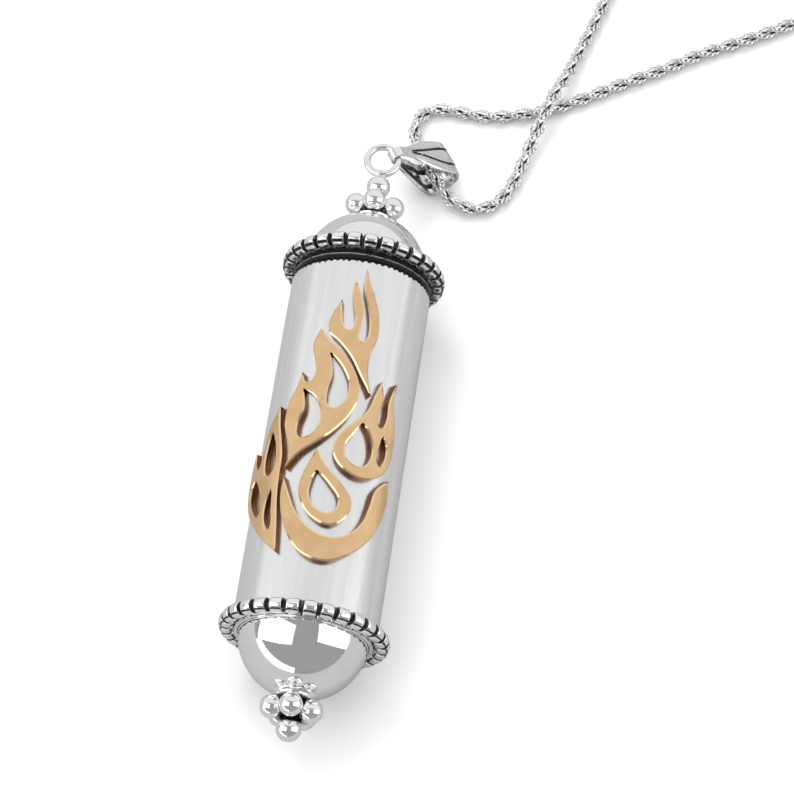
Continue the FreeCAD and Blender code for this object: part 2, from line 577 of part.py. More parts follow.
# ---- clasp ------------------------------------------------------------------------------------
def oval(centre, half_length, half_width, thickness):
    """A flat oval prism about z = 0."""
    ellipse = Part.Ellipse(V(centre, 0, -thickness / 2), half_length, half_width)
    return Part.Face(Part.Wire(ellipse.toShape())).extrude(V(0, 0, thickness))


def clasp():
    """A hook, its hinged lever and the lever's pin, flat, with the hook's eye at the origin."""
    gate_start, gate_end = CLASP_GATE
    pivot_x, pivot_y = CLASP_PIVOT
    tab_x, tab_y, tab_r = CLASP_TAB
    lever_z = -CLASP_LEVER_THICKNESS / 2
    pivot = V(pivot_x, pivot_y, -CLASP_THICKNESS / 2)

    def wide_box(start, end, side, height):
        box = Part.makeBox(end - start, 2 * CLASP_HALF_WIDTH, height)
        box.translate(V(start, side, -height / 2))
        return box

    opening = oval(CLASP_CENTRE + CLASP_OPENING_SHIFT, CLASP_HALF_LENGTH - CLASP_RIM[0],
                   CLASP_HALF_WIDTH - CLASP_RIM[1], 2 * CLASP_THICKNESS)
    hook = oval(CLASP_CENTRE, CLASP_HALF_LENGTH, CLASP_HALF_WIDTH, CLASP_THICKNESS).cut(opening)
    hook = hook.cut(wide_box(gate_start, gate_end, CLASP_GATE_SIDE, 2 * CLASP_THICKNESS))
    hook = hook.cut(wide_box(CLASP_SLOT_START, gate_start + 1, CLASP_GATE_SIDE,
                             CLASP_LEVER_THICKNESS + 2 * CLASP_SLOT_GAP))
    hook = hook.cut(Part.makeCylinder(CLASP_PIN_R + CLASP_PIN_FIT, CLASP_THICKNESS, pivot))
    # The eye stands upright on the table beside the hook, so the link's wire runs across it.
    hook = hook.fuse(torus_at(V(0, 0, CLASP_EYE_Z - CLASP_Z), CLASP_EYE_R, CLASP_EYE_WIRE_R,
                              V(0, 1, 0)))
    arm = oval(CLASP_CENTRE, CLASP_HALF_LENGTH, CLASP_HALF_WIDTH, CLASP_LEVER_THICKNESS)
    arm = arm.cut(opening).common(wide_box(CLASP_LEVER_START, gate_end - CLASP_LEVER_GAP,
                                           CLASP_LEVER_SIDE, CLASP_THICKNESS))
    root = Part.makeCylinder(CLASP_ROOT_R, CLASP_LEVER_THICKNESS, V(pivot_x, pivot_y, lever_z))
    tab = Part.makeCylinder(tab_r, CLASP_LEVER_THICKNESS, V(tab_x, tab_y, lever_z))
    lever = arm.fuse([root, tab])
    lever = lever.cut(Part.makeCylinder(CLASP_PIN_R + CLASP_LEVER_FIT, CLASP_THICKNESS, pivot))
    pin = Part.makeCylinder(CLASP_PIN_R, CLASP_THICKNESS, pivot)
    return hook, lever, pin


def placed_clasp(link_far, flat):
    """Lay the clasp on the table with its eye round the far side of the link."""
    turn = FreeCAD.Rotation(V(0, 0, 1), math.degrees(math.atan2(flat.y, flat.x)))
    eye = link_far + flat * (CLASP_EYE_R - CLASP_EYE_WIRE_R - LINK_WIRE_R - LINK_PLAY)
    eye.z = CLASP_Z
    pieces = clasp()
    for piece in pieces:
        piece.Placement = FreeCAD.Placement(eye, turn).multiply(piece.Placement)
    return pieces, turn.multVec(V(*CLASP_PIVOT, 0)) + eye


def build():
    """Make every piece, in the frame that measures y from the middle of the tube."""
    NODES["top_dome"] = lifted(dome())
    NODES["cap_plug"] = lifted(cap_plug())
    NODES["top_bead_ring"] = lifted(bead_ring())
    NODES["top_neck"] = lifted(neck())
    NODES["top_granules"] = lifted(granules())
    NODES["top_pin"] = lifted(ball_pin(STEM_BALL_Y, STEM_BALL_R))
    NODES["stem_ball"] = lifted(end_ball(STEM_BALL_Y, STEM_BALL_R))
    NODES["hanging_ring"] = torus_at(V(0, HANG_Y, AXIS_Z), HANG_RING_R, HANG_WIRE_R, V(0, 0, 1))
    NODES["seal_washer"] = lifted(seal_washer())
    NODES["case_tube"] = lifted(case_tube())
    NODES["thread_bush"] = lifted(thread_bush())
    NODES["mouth_band"] = lifted(mouth_band())
    NODES["bottom_dome"] = lifted(mirrored(dome()))
    NODES["bottom_bead_ring"] = lifted(mirrored(bead_ring()))
    NODES["bottom_neck"] = lifted(mirrored(neck()))
    NODES["bottom_granules"] = lifted(mirrored(granules()))
    NODES["bottom_pin"] = lifted(mirrored(ball_pin(TIP_BALL_Y, TIP_BALL_R)))
    NODES["tip_ball"] = lifted(mirrored(end_ball(TIP_BALL_Y, TIP_BALL_R)))
    for name, (outline, holes) in FLAME.items():
        NODES[name] = flame_piece(outline, holes)
    NODES["scroll"], NODES["scroll_tie"] = scroll()
    NODES["bail"] = bail()
    object_nodes = list(NODES)

    NODES["chain_coil"] = coil()
    near, near_length = chain_tube("chain_near", CHAIN_NEAR)
    far, far_length = chain_tube("chain_far", CHAIN_FAR)
    tail, tail_length = chain_tube("chain_tail", CHAIN_TAIL)
    NODES["chain_near"] = near
    NODES["chain_far"] = far.cut(NODES["chain_coil"])
    NODES["chain_tail"] = tail.cut(NODES["chain_coil"])
    NODES["coil_tie"] = coil_tie()
    near_cap, near_eye, near_way = end_cap(CHAIN_NEAR)
    tail_cap, tail_eye, tail_way = end_cap(CHAIN_TAIL)
    near_link, _ = end_link(near_eye, near_way, LINK_WIRE_R + FIT_GAP)
    tail_link, link_far = end_link(tail_eye, tail_way, CLASP_EYE_Z)
    NODES["chain_end_caps"] = Part.makeCompound([near_cap, tail_cap])
    NODES["end_links"] = Part.makeCompound([near_link, tail_link])
    (body, lever, pin), pivot = placed_clasp(link_far, tail_way)
    NODES["clasp_body"], NODES["clasp_lever"], NODES["clasp_pin"] = body, lever, pin
    print(f"lengths: near {near_length:.1f}, far {far_length:.1f}, tail {tail_length:.1f}")
    return object_nodes, pivot


def main():
    """Build the pieces, centre the case on the origin and write one file per piece."""
    object_nodes, clasp_pivot = build()
    boxes = [NODES[name].optimalBoundingBox(False) for name in object_nodes]
    low, high = min(b.YMin for b in boxes), max(b.YMax for b in boxes)
    shift = V(0, -(low + high) / 2, 0)
    os.makedirs("parts", exist_ok=True)
    for name, shape in NODES.items():
        shape.translate(shift)
        solids = shape.Solids
        print(f"{name}: {len(solids)} solid(s), {shape.Volume:.2f} mm3, valid {shape.isValid()}")
        shape = solids[0] if len(solids) == 1 else Part.makeCompound(solids)
        shape.exportStep(f"parts/{name}.step")
    print(f"shift {shift.y:.4f}, axis z {AXIS_Z:.4f}, hanging ring y {HANG_Y + shift.y:.4f}")
    print(f"clasp pivot {clasp_pivot.x:.4f} {clasp_pivot.y + shift.y:.4f} {clasp_pivot.z:.4f}")
    print(f"x {min(b.XMin for b in boxes):.3f} {max(b.XMax for b in boxes):.3f}"
          f" z {min(b.ZMin for b in boxes):.4f} y {low:.3f} {high:.3f}")


main()
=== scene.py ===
"""Looks of a pendant scroll case.

It has a satin tube, beaded rings, a gold flame, a screw cap, a bail and a rope chain. Pieces are
modelled in millimetres round the case's own axis, which runs along Y through the middle of the
tube, and are then set down, in metres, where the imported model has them.
"""
import logging
import math
from collections.abc import Callable, Iterator, Sequence
from contextlib import contextmanager
from dataclasses import dataclass
from enum import Enum
from typing import ClassVar

import bpy
from mathutils import Matrix, Vector


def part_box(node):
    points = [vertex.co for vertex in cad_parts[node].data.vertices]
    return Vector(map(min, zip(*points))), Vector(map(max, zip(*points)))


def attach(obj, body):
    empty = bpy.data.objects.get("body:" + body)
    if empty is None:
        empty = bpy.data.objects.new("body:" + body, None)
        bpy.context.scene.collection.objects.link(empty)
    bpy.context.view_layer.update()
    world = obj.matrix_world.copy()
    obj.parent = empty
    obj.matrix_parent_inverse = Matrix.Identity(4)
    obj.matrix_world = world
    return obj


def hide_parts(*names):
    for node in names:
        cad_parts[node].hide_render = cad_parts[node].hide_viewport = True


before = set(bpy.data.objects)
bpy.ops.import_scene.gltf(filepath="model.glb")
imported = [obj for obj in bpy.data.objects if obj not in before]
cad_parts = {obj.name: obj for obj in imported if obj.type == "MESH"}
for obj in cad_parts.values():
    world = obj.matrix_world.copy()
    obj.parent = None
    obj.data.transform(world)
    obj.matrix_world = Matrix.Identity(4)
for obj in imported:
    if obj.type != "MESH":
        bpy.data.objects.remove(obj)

LOG = logging.getLogger("scroll_case")
MM = 0.001
LEVEL = 1e-4                # heights closer than this, in millimetres, are the same
Point = tuple[float, float]


# ---- shaders -----------------------------------------------------------------------------------
class Signal:
    """A shader value whose arithmetic adds the Math nodes that work it out."""

    def __init__(self, graph: "Graph", socket: bpy.types.NodeSocket) -> None:
        """Wrap one output socket of a node tree."""
        self.graph = graph
        self.socket = socket

    def _math(self, operation: str, *values: "Signal | float", clamp: bool = False) -> "Signal":
        """Add one Math node.

        Args:
            operation: Blender's name of the operation.
            values: the node's inputs, in order.
            clamp: keep the result between 0 and 1.
        Returns:
            The node's result.
        """
        node = self.graph.node("ShaderNodeMath", {"operation": operation, "use_clamp": clamp},
                               dict(enumerate(values)))
        return Signal(self.graph, node.outputs[0])

    def __add__(self, other: "Signal | float") -> "Signal":
        """Sum."""
        return self._math("ADD", self, other)

    __radd__ = __add__

    def __mul__(self, other: "Signal | float") -> "Signal":
        """Product."""
        return self._math("MULTIPLY", self, other)

    __rmul__ = __mul__

    def __sub__(self, other: "Signal | float") -> "Signal":
        """Difference."""
        return self._math("SUBTRACT", self, other)

    def __rsub__(self, other: float) -> "Signal":
        """Difference from a number."""
        return self._math("SUBTRACT", other, self)

    def __abs__(self) -> "Signal":
        """Size without its sign."""
        return self._math("ABSOLUTE", self)

    def root(self) -> "Signal":
        """Square root."""
        return self._math("SQRT", self)

    def fraction(self) -> "Signal":
        """What is left after whole numbers are taken off."""
        return self._math("FRACT", self)

    def highest(self, other: "Signal | float") -> "Signal":
        """The larger of two values."""
        return self._math("MAXIMUM", self, other)

    def angle_from(self, other: "Signal") -> "Signal":
        """Angle of the point (other, self) round the origin."""
        return self._math("ARCTAN2", self, other)

    def rising(self, low: float, high: float) -> "Signal":
        """Go smoothly from 0 at low to 1 at high.

        Args:
            low: where the result is 0.
            high: where it is 1; below low, the result falls instead.
        Returns:
            The smooth step.
        """
        turned = low > high
        first, last = min(low, high), max(low, high)
        node = self.graph.node(
            "ShaderNodeMapRange", {"interpolation_type": "SMOOTHSTEP"},
            {"Value": self, "From Min": first, "From Max": last,
             "To Min": float(turned), "To Max": float(not turned)})
        return Signal(self.graph, node.outputs["Result"])


class Graph:
    """A node tree, to which nodes and links are added."""

    def __init__(self, tree: bpy.types.NodeTree) -> None:
        """Take a node tree."""
        self.tree = tree

    def node(self, kind: str, settings: dict | None = None,
             inputs: dict | None = None) -> bpy.types.Node:
        """Add a node.

        Args:
            kind: Blender's type of node.
            settings: attributes that are set before anything is linked.
            inputs: numbers, colours, vectors or signals, by socket name or number.
        Returns:
            The node.
        """
        node = self.tree.nodes.new(kind)
        for key, value in (settings or {}).items():
            setattr(node, key, value)
        for key, value in (inputs or {}).items():
            self.feed(node.inputs[key], value)
        return node

    def feed(self, socket: bpy.types.NodeSocket, value: object) -> None:
        """Give a socket a number, colour, vector or signal."""
        if isinstance(value, Signal):
            self.tree.links.new(value.socket, socket)
        else:
            socket.default_value = value

    def axes(self, place: Signal) -> tuple[Signal, Signal, Signal]:
        """The three numbers of a position."""
        node = self.node("ShaderNodeSeparateXYZ", None, {"Vector": place})
        return tuple(Signal(self, node.outputs[axis]) for axis in "XYZ")


class Shader(Graph):
    """A material's node tree, with a Principled shader at its end."""

    def __init__(self, name: str) -> None:
        """Start a material.

        Args:
            name: the material's name.
        """
        self.material = bpy.data.materials.new(name)
        self.material.use_nodes = True
        super().__init__(self.material.node_tree)
        self.surface = self.tree.nodes["Principled BSDF"]

    def place(self, stretch: Sequence[float] = (1, 1, 1),
              centre: Sequence[float] = (0, 0, 0)) -> Signal:
        """Position on the object in millimetres.

        Args:
            stretch: factors on x, y and z.
            centre: the point, in millimetres, that becomes the origin.
        Returns:
            The position as a vector.
        """
        coordinates = self.node("ShaderNodeTexCoord").outputs["Object"]
        scale = [s / MM for s in stretch]
        node = self.node("ShaderNodeMapping", {"vector_type": "POINT"},
                         {"Vector": Signal(self, coordinates), "Scale": scale,
                          "Location": [-c * s for c, s in zip(centre, stretch)]})
        return Signal(self, node.outputs["Vector"])

    def noise(self, place: Signal, scale: float, detail: float = 3.0,
              roughness: float = 0.55) -> Signal:
        """Smooth random values between 0 and 1.

        Args:
            place: where they are read.
            scale: how many patches there are in a millimetre.
            detail: octaves of finer noise.
            roughness: weight of the finer noise.
        Returns:
            The values.
        """
        node = self.node("ShaderNodeTexNoise", None,
                         {"Vector": place, "Scale": scale, "Detail": detail,
                          "Roughness": roughness})
        return Signal(self, node.outputs["Fac"])

    def attribute(self, name: str) -> Signal:
        """A number kept on the mesh."""
        node = self.node("ShaderNodeAttribute", {"attribute_name": name})
        return Signal(self, node.outputs["Fac"])

    def blend(self, share: Signal | float, first: object, second: object) -> Signal:
        """Mix two colours.

        Args:
            share: 0 for the first, 1 for the second.
            first: a colour or signal.
            second: a colour or signal.
        Returns:
            The colour between them.
        """
        node = self.node("ShaderNodeMix", {"data_type": "RGBA"},
                         {"Factor": share, 6: first, 7: second})
        return Signal(self, node.outputs[2])

    def bump(self, height: Signal, depth: float) -> Signal:
        """A normal for a height between 0 and 1.

        Args:
            height: the height.
            depth: what a height of 1 stands for, in millimetres.
        Returns:
            The normal.
        """
        node = self.node("ShaderNodeBump", None,
                         {"Height": height, "Distance": depth * MM, "Strength": 1.0})
        return Signal(self, node.outputs["Normal"])

    def finish(self, **sockets: object) -> bpy.types.Material:
        """Feed the Principled shader, spaces in socket names written as underscores."""
        for key, value in sockets.items():
            self.feed(self.surface.inputs[key.replace("_", " ")], value)
        return self.material


def grey(value: float) -> tuple[float, float, float, float]:
    """A grey."""
    return (value, value, value, 1.0)


BLACK_AND_SHADE = grey(0.008)         # silver blackened in a crevice, and the black of painted shade and painted dark reflection


# ---- where things are --------------------------------------------------------------------------
def box_mm(node: str) -> tuple[Vector, Vector]:
    """Lowest and highest corner of a CAD node, in millimetres."""
    low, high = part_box(node)
    return low / MM, high / MM


@dataclass(frozen=True)
class CaseLayout:
    """Places on the case, in millimetres along and round its own axis, read from the frame."""

    middle_y: float
    axis_z: float
    tube_r: float
    ring_plane: float
    ring_r: float
    bead_r: float
    mouth: float
    band_low: float
    seat_r: float
    dome_r: float
    dome_skirt: float
    tube_foot: float
    neck_top: float
    neck_r: float

    @classmethod
    def from_frame(cls) -> "CaseLayout":
        """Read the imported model's boxes."""
        tube_low, tube_high = box_mm("case_tube")
        low_ring, high_ring = box_mm("bottom_bead_ring"), box_mm("top_bead_ring")
        planes = [(low.y + high.y) / 2 for low, high in (low_ring, high_ring)]
        middle = sum(planes) / 2
        bead_r = (high_ring[1].y - high_ring[0].y) / 2
        band = box_mm("mouth_band")
        dome = box_mm("top_dome")
        neck = box_mm("top_neck")
        return cls(
            middle_y=middle, axis_z=(tube_low.z + tube_high.z) / 2,
            tube_r=(tube_high.x - tube_low.x) / 2, ring_plane=planes[1] - middle,
            ring_r=(high_ring[1].x - high_ring[0].x) / 2 - bead_r, bead_r=bead_r,
            mouth=band[1].y - middle, band_low=band[0].y - middle,
            seat_r=(high_ring[1].x - high_ring[0].x) / 2 - 2 * bead_r,
            dome_r=(dome[1].x - dome[0].x) / 2,
            dome_skirt=planes[1] - dome[0].y, tube_foot=tube_low.y - middle,
            neck_top=neck[1].y - middle, neck_r=(neck[1].x - neck[0].x) / 2)

    @property
    def on_axis(self) -> Matrix:
        """The step from the case's own axis to the frame, still in millimetres."""
        return Matrix.Translation((0, self.middle_y, self.axis_z))

    def turned_over(self) -> Matrix:
        """The same step for a piece of the +Y end that is wanted at the other end."""
        return self.on_axis @ Matrix.Rotation(math.pi, 4, "Z")


# ---- modelling ---------------------------------------------------------------------------------
def bend(centre: Point, radius: float, start: float, end: float, steps: int) -> list[Point]:
    """Points on an arc.

    Args:
        centre: the arc's centre, as (distance from the axis, y).
        radius: its radius.
        start: first angle in degrees; 0 points away from the axis and 90 towards +Y.
        end: last angle in degrees.
        steps: how many steps the arc is cut into.
    Returns:
        The points from start to end.
    """
    angles = [math.radians(start + (end - start) * i / steps) for i in range(steps + 1)]
    return [(centre[0] + radius * math.cos(a), centre[1] + radius * math.sin(a)) for a in angles]


def pick(*pieces: bpy.types.Object) -> None:
    """Select these pieces alone, the first of them active."""
    bpy.ops.object.select_all(action="DESELECT")
    for piece in pieces:
        piece.select_set(True)
    bpy.context.view_layer.objects.active = pieces[0]


def held(value: float) -> float:
    """A value kept between 0 and 1."""
    return min(1.0, max(0.0, value))


def outwards(azimuth: float, elevation: float) -> Vector:
    """The direction at an azimuth, from +X towards +Y, and an elevation, both in degrees."""
    a, e = math.radians(azimuth), math.radians(elevation)
    return Vector((math.cos(a) * math.cos(e), math.sin(a) * math.cos(e), math.sin(e)))


@contextmanager
def editing(piece: bpy.types.Object, everything: bool = True) -> Iterator[None]:
    """Edit one piece's mesh.

    Args:
        piece: the piece.
        everything: select all of it, in place of what was picked before.
    Yields:
        Nothing, while the piece is in edit mode.
    """
    pick(piece)
    bpy.ops.object.mode_set(mode="EDIT")
    if everything:
        bpy.ops.mesh.select_all(action="SELECT")
    yield
    bpy.ops.object.mode_set(mode="OBJECT")


class Bench:
    """The modelling steps that the pieces share."""

    TURNED_WELD: ClassVar[float] = 0.0008   # points nearer than this in a turned piece are one
    COPY_WELD: ClassVar[float] = 0.002      # and those of a copied CAD node, in millimetres

    def start(self, name: str, primitive: Callable, **sizes: object) -> bpy.types.Object:
        """Add a primitive.

        Args:
            name: the piece's name.
            primitive: Blender's operator.
            sizes: its sizes in millimetres.
        Returns:
            The new object.
        """
        bpy.ops.object.select_all(action="DESELECT")
        primitive(**sizes)
        piece = bpy.context.active_object
        piece.name = piece.data.name = name
        return piece

    def line(self, name: str, points: Sequence[Sequence[float]]) -> bpy.types.Object:
        """Draw a chain of edges by extruding one point."""
        piece = self.start(name, bpy.ops.mesh.primitive_plane_add, size=1)
        steps = [Vector(b) - Vector(a) for a, b in zip(points, points[1:])]
        with editing(piece):
            bpy.ops.mesh.merge(type="CENTER")
            bpy.ops.transform.translate(value=points[0])
            for step in steps:
                bpy.ops.mesh.extrude_region_move(TRANSFORM_OT_translate={"value": step})
        return piece

    def turned(self, name: str, outline: Sequence[Point], steps: int = 96) -> bpy.types.Object:
        """Turn an outline round the Y axis.

        Args:
            name: the piece's name.
            outline: (distance from the axis, y) of each point; closed, or ending on the axis.
            steps: how many steps the turn has.
        Returns:
            The turned piece.
        """
        piece = self.line(name, [(r, y, 0) for r, y in outline])
        with editing(piece):
            bpy.ops.mesh.spin(steps=steps, angle=2 * math.pi, center=(0, 0, 0), axis=(0, 1, 0))
            bpy.ops.mesh.select_all(action="SELECT")
            bpy.ops.mesh.remove_doubles(threshold=self.TURNED_WELD)
            bpy.ops.mesh.normals_make_consistent(inside=False)
        return piece

    def pick_faces(self, piece: bpy.types.Object, test: Callable) -> None:
        """Select only the faces that pass a test of the polygon."""
        piece.data.vertices.foreach_set("select", [False] * len(piece.data.vertices))
        piece.data.edges.foreach_set("select", [False] * len(piece.data.edges))
        for face in piece.data.polygons:
            face.select = test(face)

    def modified(self, piece: bpy.types.Object, kind: str, **settings: object) -> None:
        """Add a modifier and apply it."""
        pick(piece)
        modifier = piece.modifiers.new(kind, kind)
        for key, value in settings.items():
            setattr(modifier, key, value)
        bpy.ops.object.modifier_apply(modifier=modifier.name)

    def copy(self, piece: bpy.types.Object, place: Matrix) -> bpy.types.Object:
        """Copy a piece with its own mesh, moved by a matrix."""
        twin = piece.copy()
        twin.data = piece.data.copy()
        twin.data.transform(place)
        bpy.context.collection.objects.link(twin)
        return twin

    def ringed(self, piece: bpy.types.Object, count: int, radius: float, first: float = 0.0,
               pose: Matrix | None = None) -> list[bpy.types.Object]:
        """Copies of a piece in a ring round the Y axis, in place of the piece.

        Args:
            piece: the piece, round the origin.
            count: how many there are.
            radius: how far they are from the axis.
            first: turn of the first one, as a share of the step between two.
            pose: how each one is turned before it is set out.
        Returns:
            The copies.
        """
        out = Matrix.Translation((0, 0, radius)) @ (pose or Matrix())
        copies = [self.copy(piece, Matrix.Rotation(2 * math.pi * (i + first) / count, 4, "Y") @ out)
                  for i in range(count)]
        bpy.data.objects.remove(piece)
        return copies

    def join(self, pieces: Sequence[bpy.types.Object], name: str) -> bpy.types.Object:
        """Join pieces into the first one."""
        pick(*pieces)
        if len(pieces) > 1:
            bpy.ops.object.join()
        pieces[0].name = pieces[0].data.name = name
        return pieces[0]

    def shape(self, piece: bpy.types.Object, move: Callable[[Vector], Vector]) -> None:
        """Move every point of a piece by a formula."""
        for vertex in piece.data.vertices:
            vertex.co = move(vertex.co.copy())
        piece.data.update()

    def polished_copy(self, node: str, name: str, edge: float = 0.06) -> bpy.types.Object:
        """A smooth copy of a CAD node with its sharp edges broken.

        Args:
            node: the CAD node.
            name: the new piece's name.
            edge: width of the broken edges, in millimetres.
        Returns:
            The copy, in the case's millimetres in the frame's place.
        """
        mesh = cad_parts[node].data.copy()
        mesh.transform(Matrix.Scale(1 / MM, 4))
        mesh.materials.clear()
        mesh.name = name
        piece = bpy.data.objects.new(name, mesh)
        bpy.context.collection.objects.link(piece)
        with editing(piece):
            bpy.ops.mesh.remove_doubles(threshold=self.COPY_WELD)
            bpy.ops.mesh.tris_convert_to_quads()
            bpy.ops.mesh.dissolve_limited(angle_limit=math.radians(2))
        self.modified(piece, "BEVEL", width=edge, segments=2, limit_method="ANGLE",
                      angle_limit=math.radians(40))
        return piece

    def deliver(self, piece: bpy.types.Object, place: Matrix, body: str, nodes: Sequence[str],
                slot: str, finishes: Sequence[bpy.types.Material],
                smooth: float = 40.0) -> bpy.types.Object:
        """Args:
            piece: the piece, in millimetres.
            place: its place in the frame, in millimetres.
            body: the body that it rides on.
            nodes: the CAD nodes that it stands for.
            slot: the name of a material slot; not used.
            finishes: its materials, in the order of its faces' numbers.
            smooth: angle in degrees above which an edge stays sharp.
        Returns:
            The piece.
        """
        piece.data.transform(Matrix.Scale(MM, 4) @ place)
        pick(piece)
        bpy.ops.object.shade_smooth_by_angle(angle=math.radians(smooth))
        numbers = [face.material_index for face in piece.data.polygons]
        piece.data.materials.clear()
        for finish in finishes:
            piece.data.materials.append(finish)
        piece.data.polygons.foreach_set("material_index",
                                        [min(n, len(finishes) - 1) for n in numbers])
        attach(piece, body)
        if nodes:
            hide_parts(*nodes)
        LOG.info("%s: %d faces on %s", piece.name, len(piece.data.polygons), body)
        return piece


BENCH = Bench()


# ---- finishes ----------------------------------------------------------------------------------
@dataclass(frozen=True)
class SatinSilver:
    """Silver brushed lengthwise, with faint longer streaks in it."""

    name: str = "satin_silver"
    brightness: float = 0.88
    roughness: float = 0.24
    streak: float = 0.006       # depth of the brushing in millimetres
    mouth: float = 0.0          # y above which the surface is painted black, with a toothed edge: blackened metal, and painted shade in the groove under the band
    axis_z: float = 0.0
    teeth: int = 68
    tooth: float = 0.34

    def made(self) -> bpy.types.Material:
        """Build the material."""
        shader = Shader(self.name)
        fine = shader.noise(shader.place((7.0, 0.16, 7.0)), 1.0, 4.0, 0.7)
        broad = shader.noise(shader.place((0.9, 0.05, 0.9)), 1.0, 2.0)
        tone = shader.blend(broad.rising(0.3, 0.7), grey(self.brightness - 0.07),
                            grey(self.brightness + 0.04))
        bright = shader.blend((fine - 0.5) * 0.6 + 0.3, tone, grey(self.brightness + 0.08))
        black = self.blackened(shader)
        return shader.finish(
            Base_Color=shader.blend(black, bright, BLACK_AND_SHADE), Metallic=1 - black,
            Roughness=(fine - 0.5) * 0.22 + (broad - 0.5) * 0.10 + self.roughness,
            Normal=shader.bump(fine, self.streak), Specular_IOR_Level=0.15)

    def blackened(self, shader: Shader) -> Signal:
        """How black the toothed edge at the mouth makes the surface, from 0 to 1: blackened metal
        on the tube, and painted shade in the groove under the band.
        """
        place = shader.place(centre=(0, self.mouth, self.axis_z))
        x, y, z = shader.axes(place)
        uneven = shader.noise(place, 1.7, 3.0)
        share = (x.angle_from(z) * (self.teeth / (2 * math.pi)) + uneven).fraction()
        point = abs(share - 0.5) * 2
        # painted shade: the groove under the band is painted black along with the blackened teeth
        return (y + point * (self.tooth * 0.6) + uneven * (self.tooth * 0.8)).rising(0.0, 0.05)


@dataclass(frozen=True)
class MirrorSilver:
    """Polished silver with the faint waves and wipe marks of hand polishing."""

    name: str = "mirror_silver"
    brightness: float = 0.93
    roughness: float = 0.035
    wave: float = 0.01

    def made(self) -> bpy.types.Material:
        """Build the material."""
        shader = Shader(self.name)
        wipe = shader.noise(shader.place((0.8, 0.8, 0.8)), 1.0, 5.0, 0.65)
        wave = shader.noise(shader.place((0.35, 0.35, 0.35)), 1.0, 1.0)
        return shader.finish(
            Base_Color=shader.blend(wipe.rising(0.35, 0.75), grey(self.brightness),
                                    grey(self.brightness - 0.05)),
            Metallic=1.0, Roughness=wipe.rising(0.45, 0.8) * 0.05 + self.roughness,
            Normal=shader.bump(wave, self.wave))


@dataclass(frozen=True)
class BeadSilver:
    """Bright beads on a ring round the case, black where they sit, some with a painted dark
    reflection line across them.
    """

    name: str
    plane: float                    # y of the ring
    axis_z: float
    dark: tuple[float, float]       # from the ring's plane: black below the first, bright above
    reflection_drop: float = 0.0                # how far below the plane the painted dark reflection line runs; 0 for none
    reflection_half: float = 0.10          # half the painted reflection line's width
    beads: int = 30
    brightness: float = 0.95

    def made(self) -> bpy.types.Material:
        """Build the material."""
        shader = Shader(self.name)
        place = shader.place(centre=(0, self.plane, self.axis_z))
        x, y, z = shader.axes(place)
        wear_and_shade_mottle = shader.noise(place, 2.4, 4.0, 0.6)
        bright_share = (y + (wear_and_shade_mottle - 0.5) * 0.35).rising(*self.dark)
        # painted reflection: a dark line round the ring, standing for the dark reflection along the
        # beads
        if self.reflection_drop:
            share = (x.angle_from(z) * (self.beads / (2 * math.pi))).fraction()
            across = abs(share - 0.5).rising(0.40, 0.30)
            line = abs(y + self.reflection_drop + (wear_and_shade_mottle - 0.5) * 0.12).rising(self.reflection_half,
                                                                  self.reflection_half * 0.45)
            bright_share = bright_share * (1 - line * across)
        return shader.finish(
            Base_Color=shader.blend(bright_share, BLACK_AND_SHADE, grey(self.brightness)), Metallic=bright_share,
            Roughness=(1 - bright_share) * 0.25 + 0.06, Specular_IOR_Level=0.2)


@dataclass(frozen=True)
class CreviceShadeSilver:
    """Polished silver with painted shade: black near a line along Y, where the deep places lie."""

    name: str
    centre: tuple[float, float]     # x and z of the line
    dark_r: float                   # painted shade, black within this distance of the line
    bright_r: float                 # bright beyond this one
    brightness: float = 0.93

    def made(self) -> bpy.types.Material:
        """Build the material."""
        shader = Shader(self.name)
        place = shader.place(centre=(self.centre[0], 0, self.centre[1]))
        x, _, z = shader.axes(place)
        wear_and_shade_mottle = shader.noise(place, 1.6, 4.0, 0.6)
        # painted shade: the silver turns black towards the line, as in shaded hollows
        bright_share = ((x * x + z * z).root() + (wear_and_shade_mottle - 0.5) * 0.9).rising(self.dark_r, self.bright_r)
        wipe = shader.noise(place, 0.9, 4.0)
        return shader.finish(
            Base_Color=shader.blend(bright_share, BLACK_AND_SHADE, grey(self.brightness)),
            Metallic=bright_share, Roughness=(1 - bright_share) * 0.3 + wipe.rising(0.4, 0.8) * 0.05 + 0.04,
            Specular_IOR_Level=0.2)


@dataclass(frozen=True)
class BlackenedSilver:
    """Silver blackened in a bath, with bare metal where it is rubbed."""

    name: str = "blackened_silver"
    bare: float = 0.66          # how high the noise must be for bare metal
    bare_tone: float = 0.62

    def made(self) -> bpy.types.Material:
        """Build the material."""
        shader = Shader(self.name)
        place = shader.place()
        wear_and_shade_mottle = shader.noise(place, 2.2, 5.0, 0.65).rising(self.bare - 0.06, self.bare + 0.06)
        cloud = shader.noise(place, 0.7, 3.0)
        dark = shader.blend(cloud.rising(0.3, 0.7), (0.008, 0.008, 0.010, 1),
                            (0.03, 0.027, 0.024, 1))
        return shader.finish(
            Base_Color=shader.blend(wear_and_shade_mottle, dark, grey(self.bare_tone)), Metallic=wear_and_shade_mottle,
            Roughness=cloud * 0.25 + 0.2, Normal=shader.bump(cloud, 0.02),
            Specular_IOR_Level=0.2)


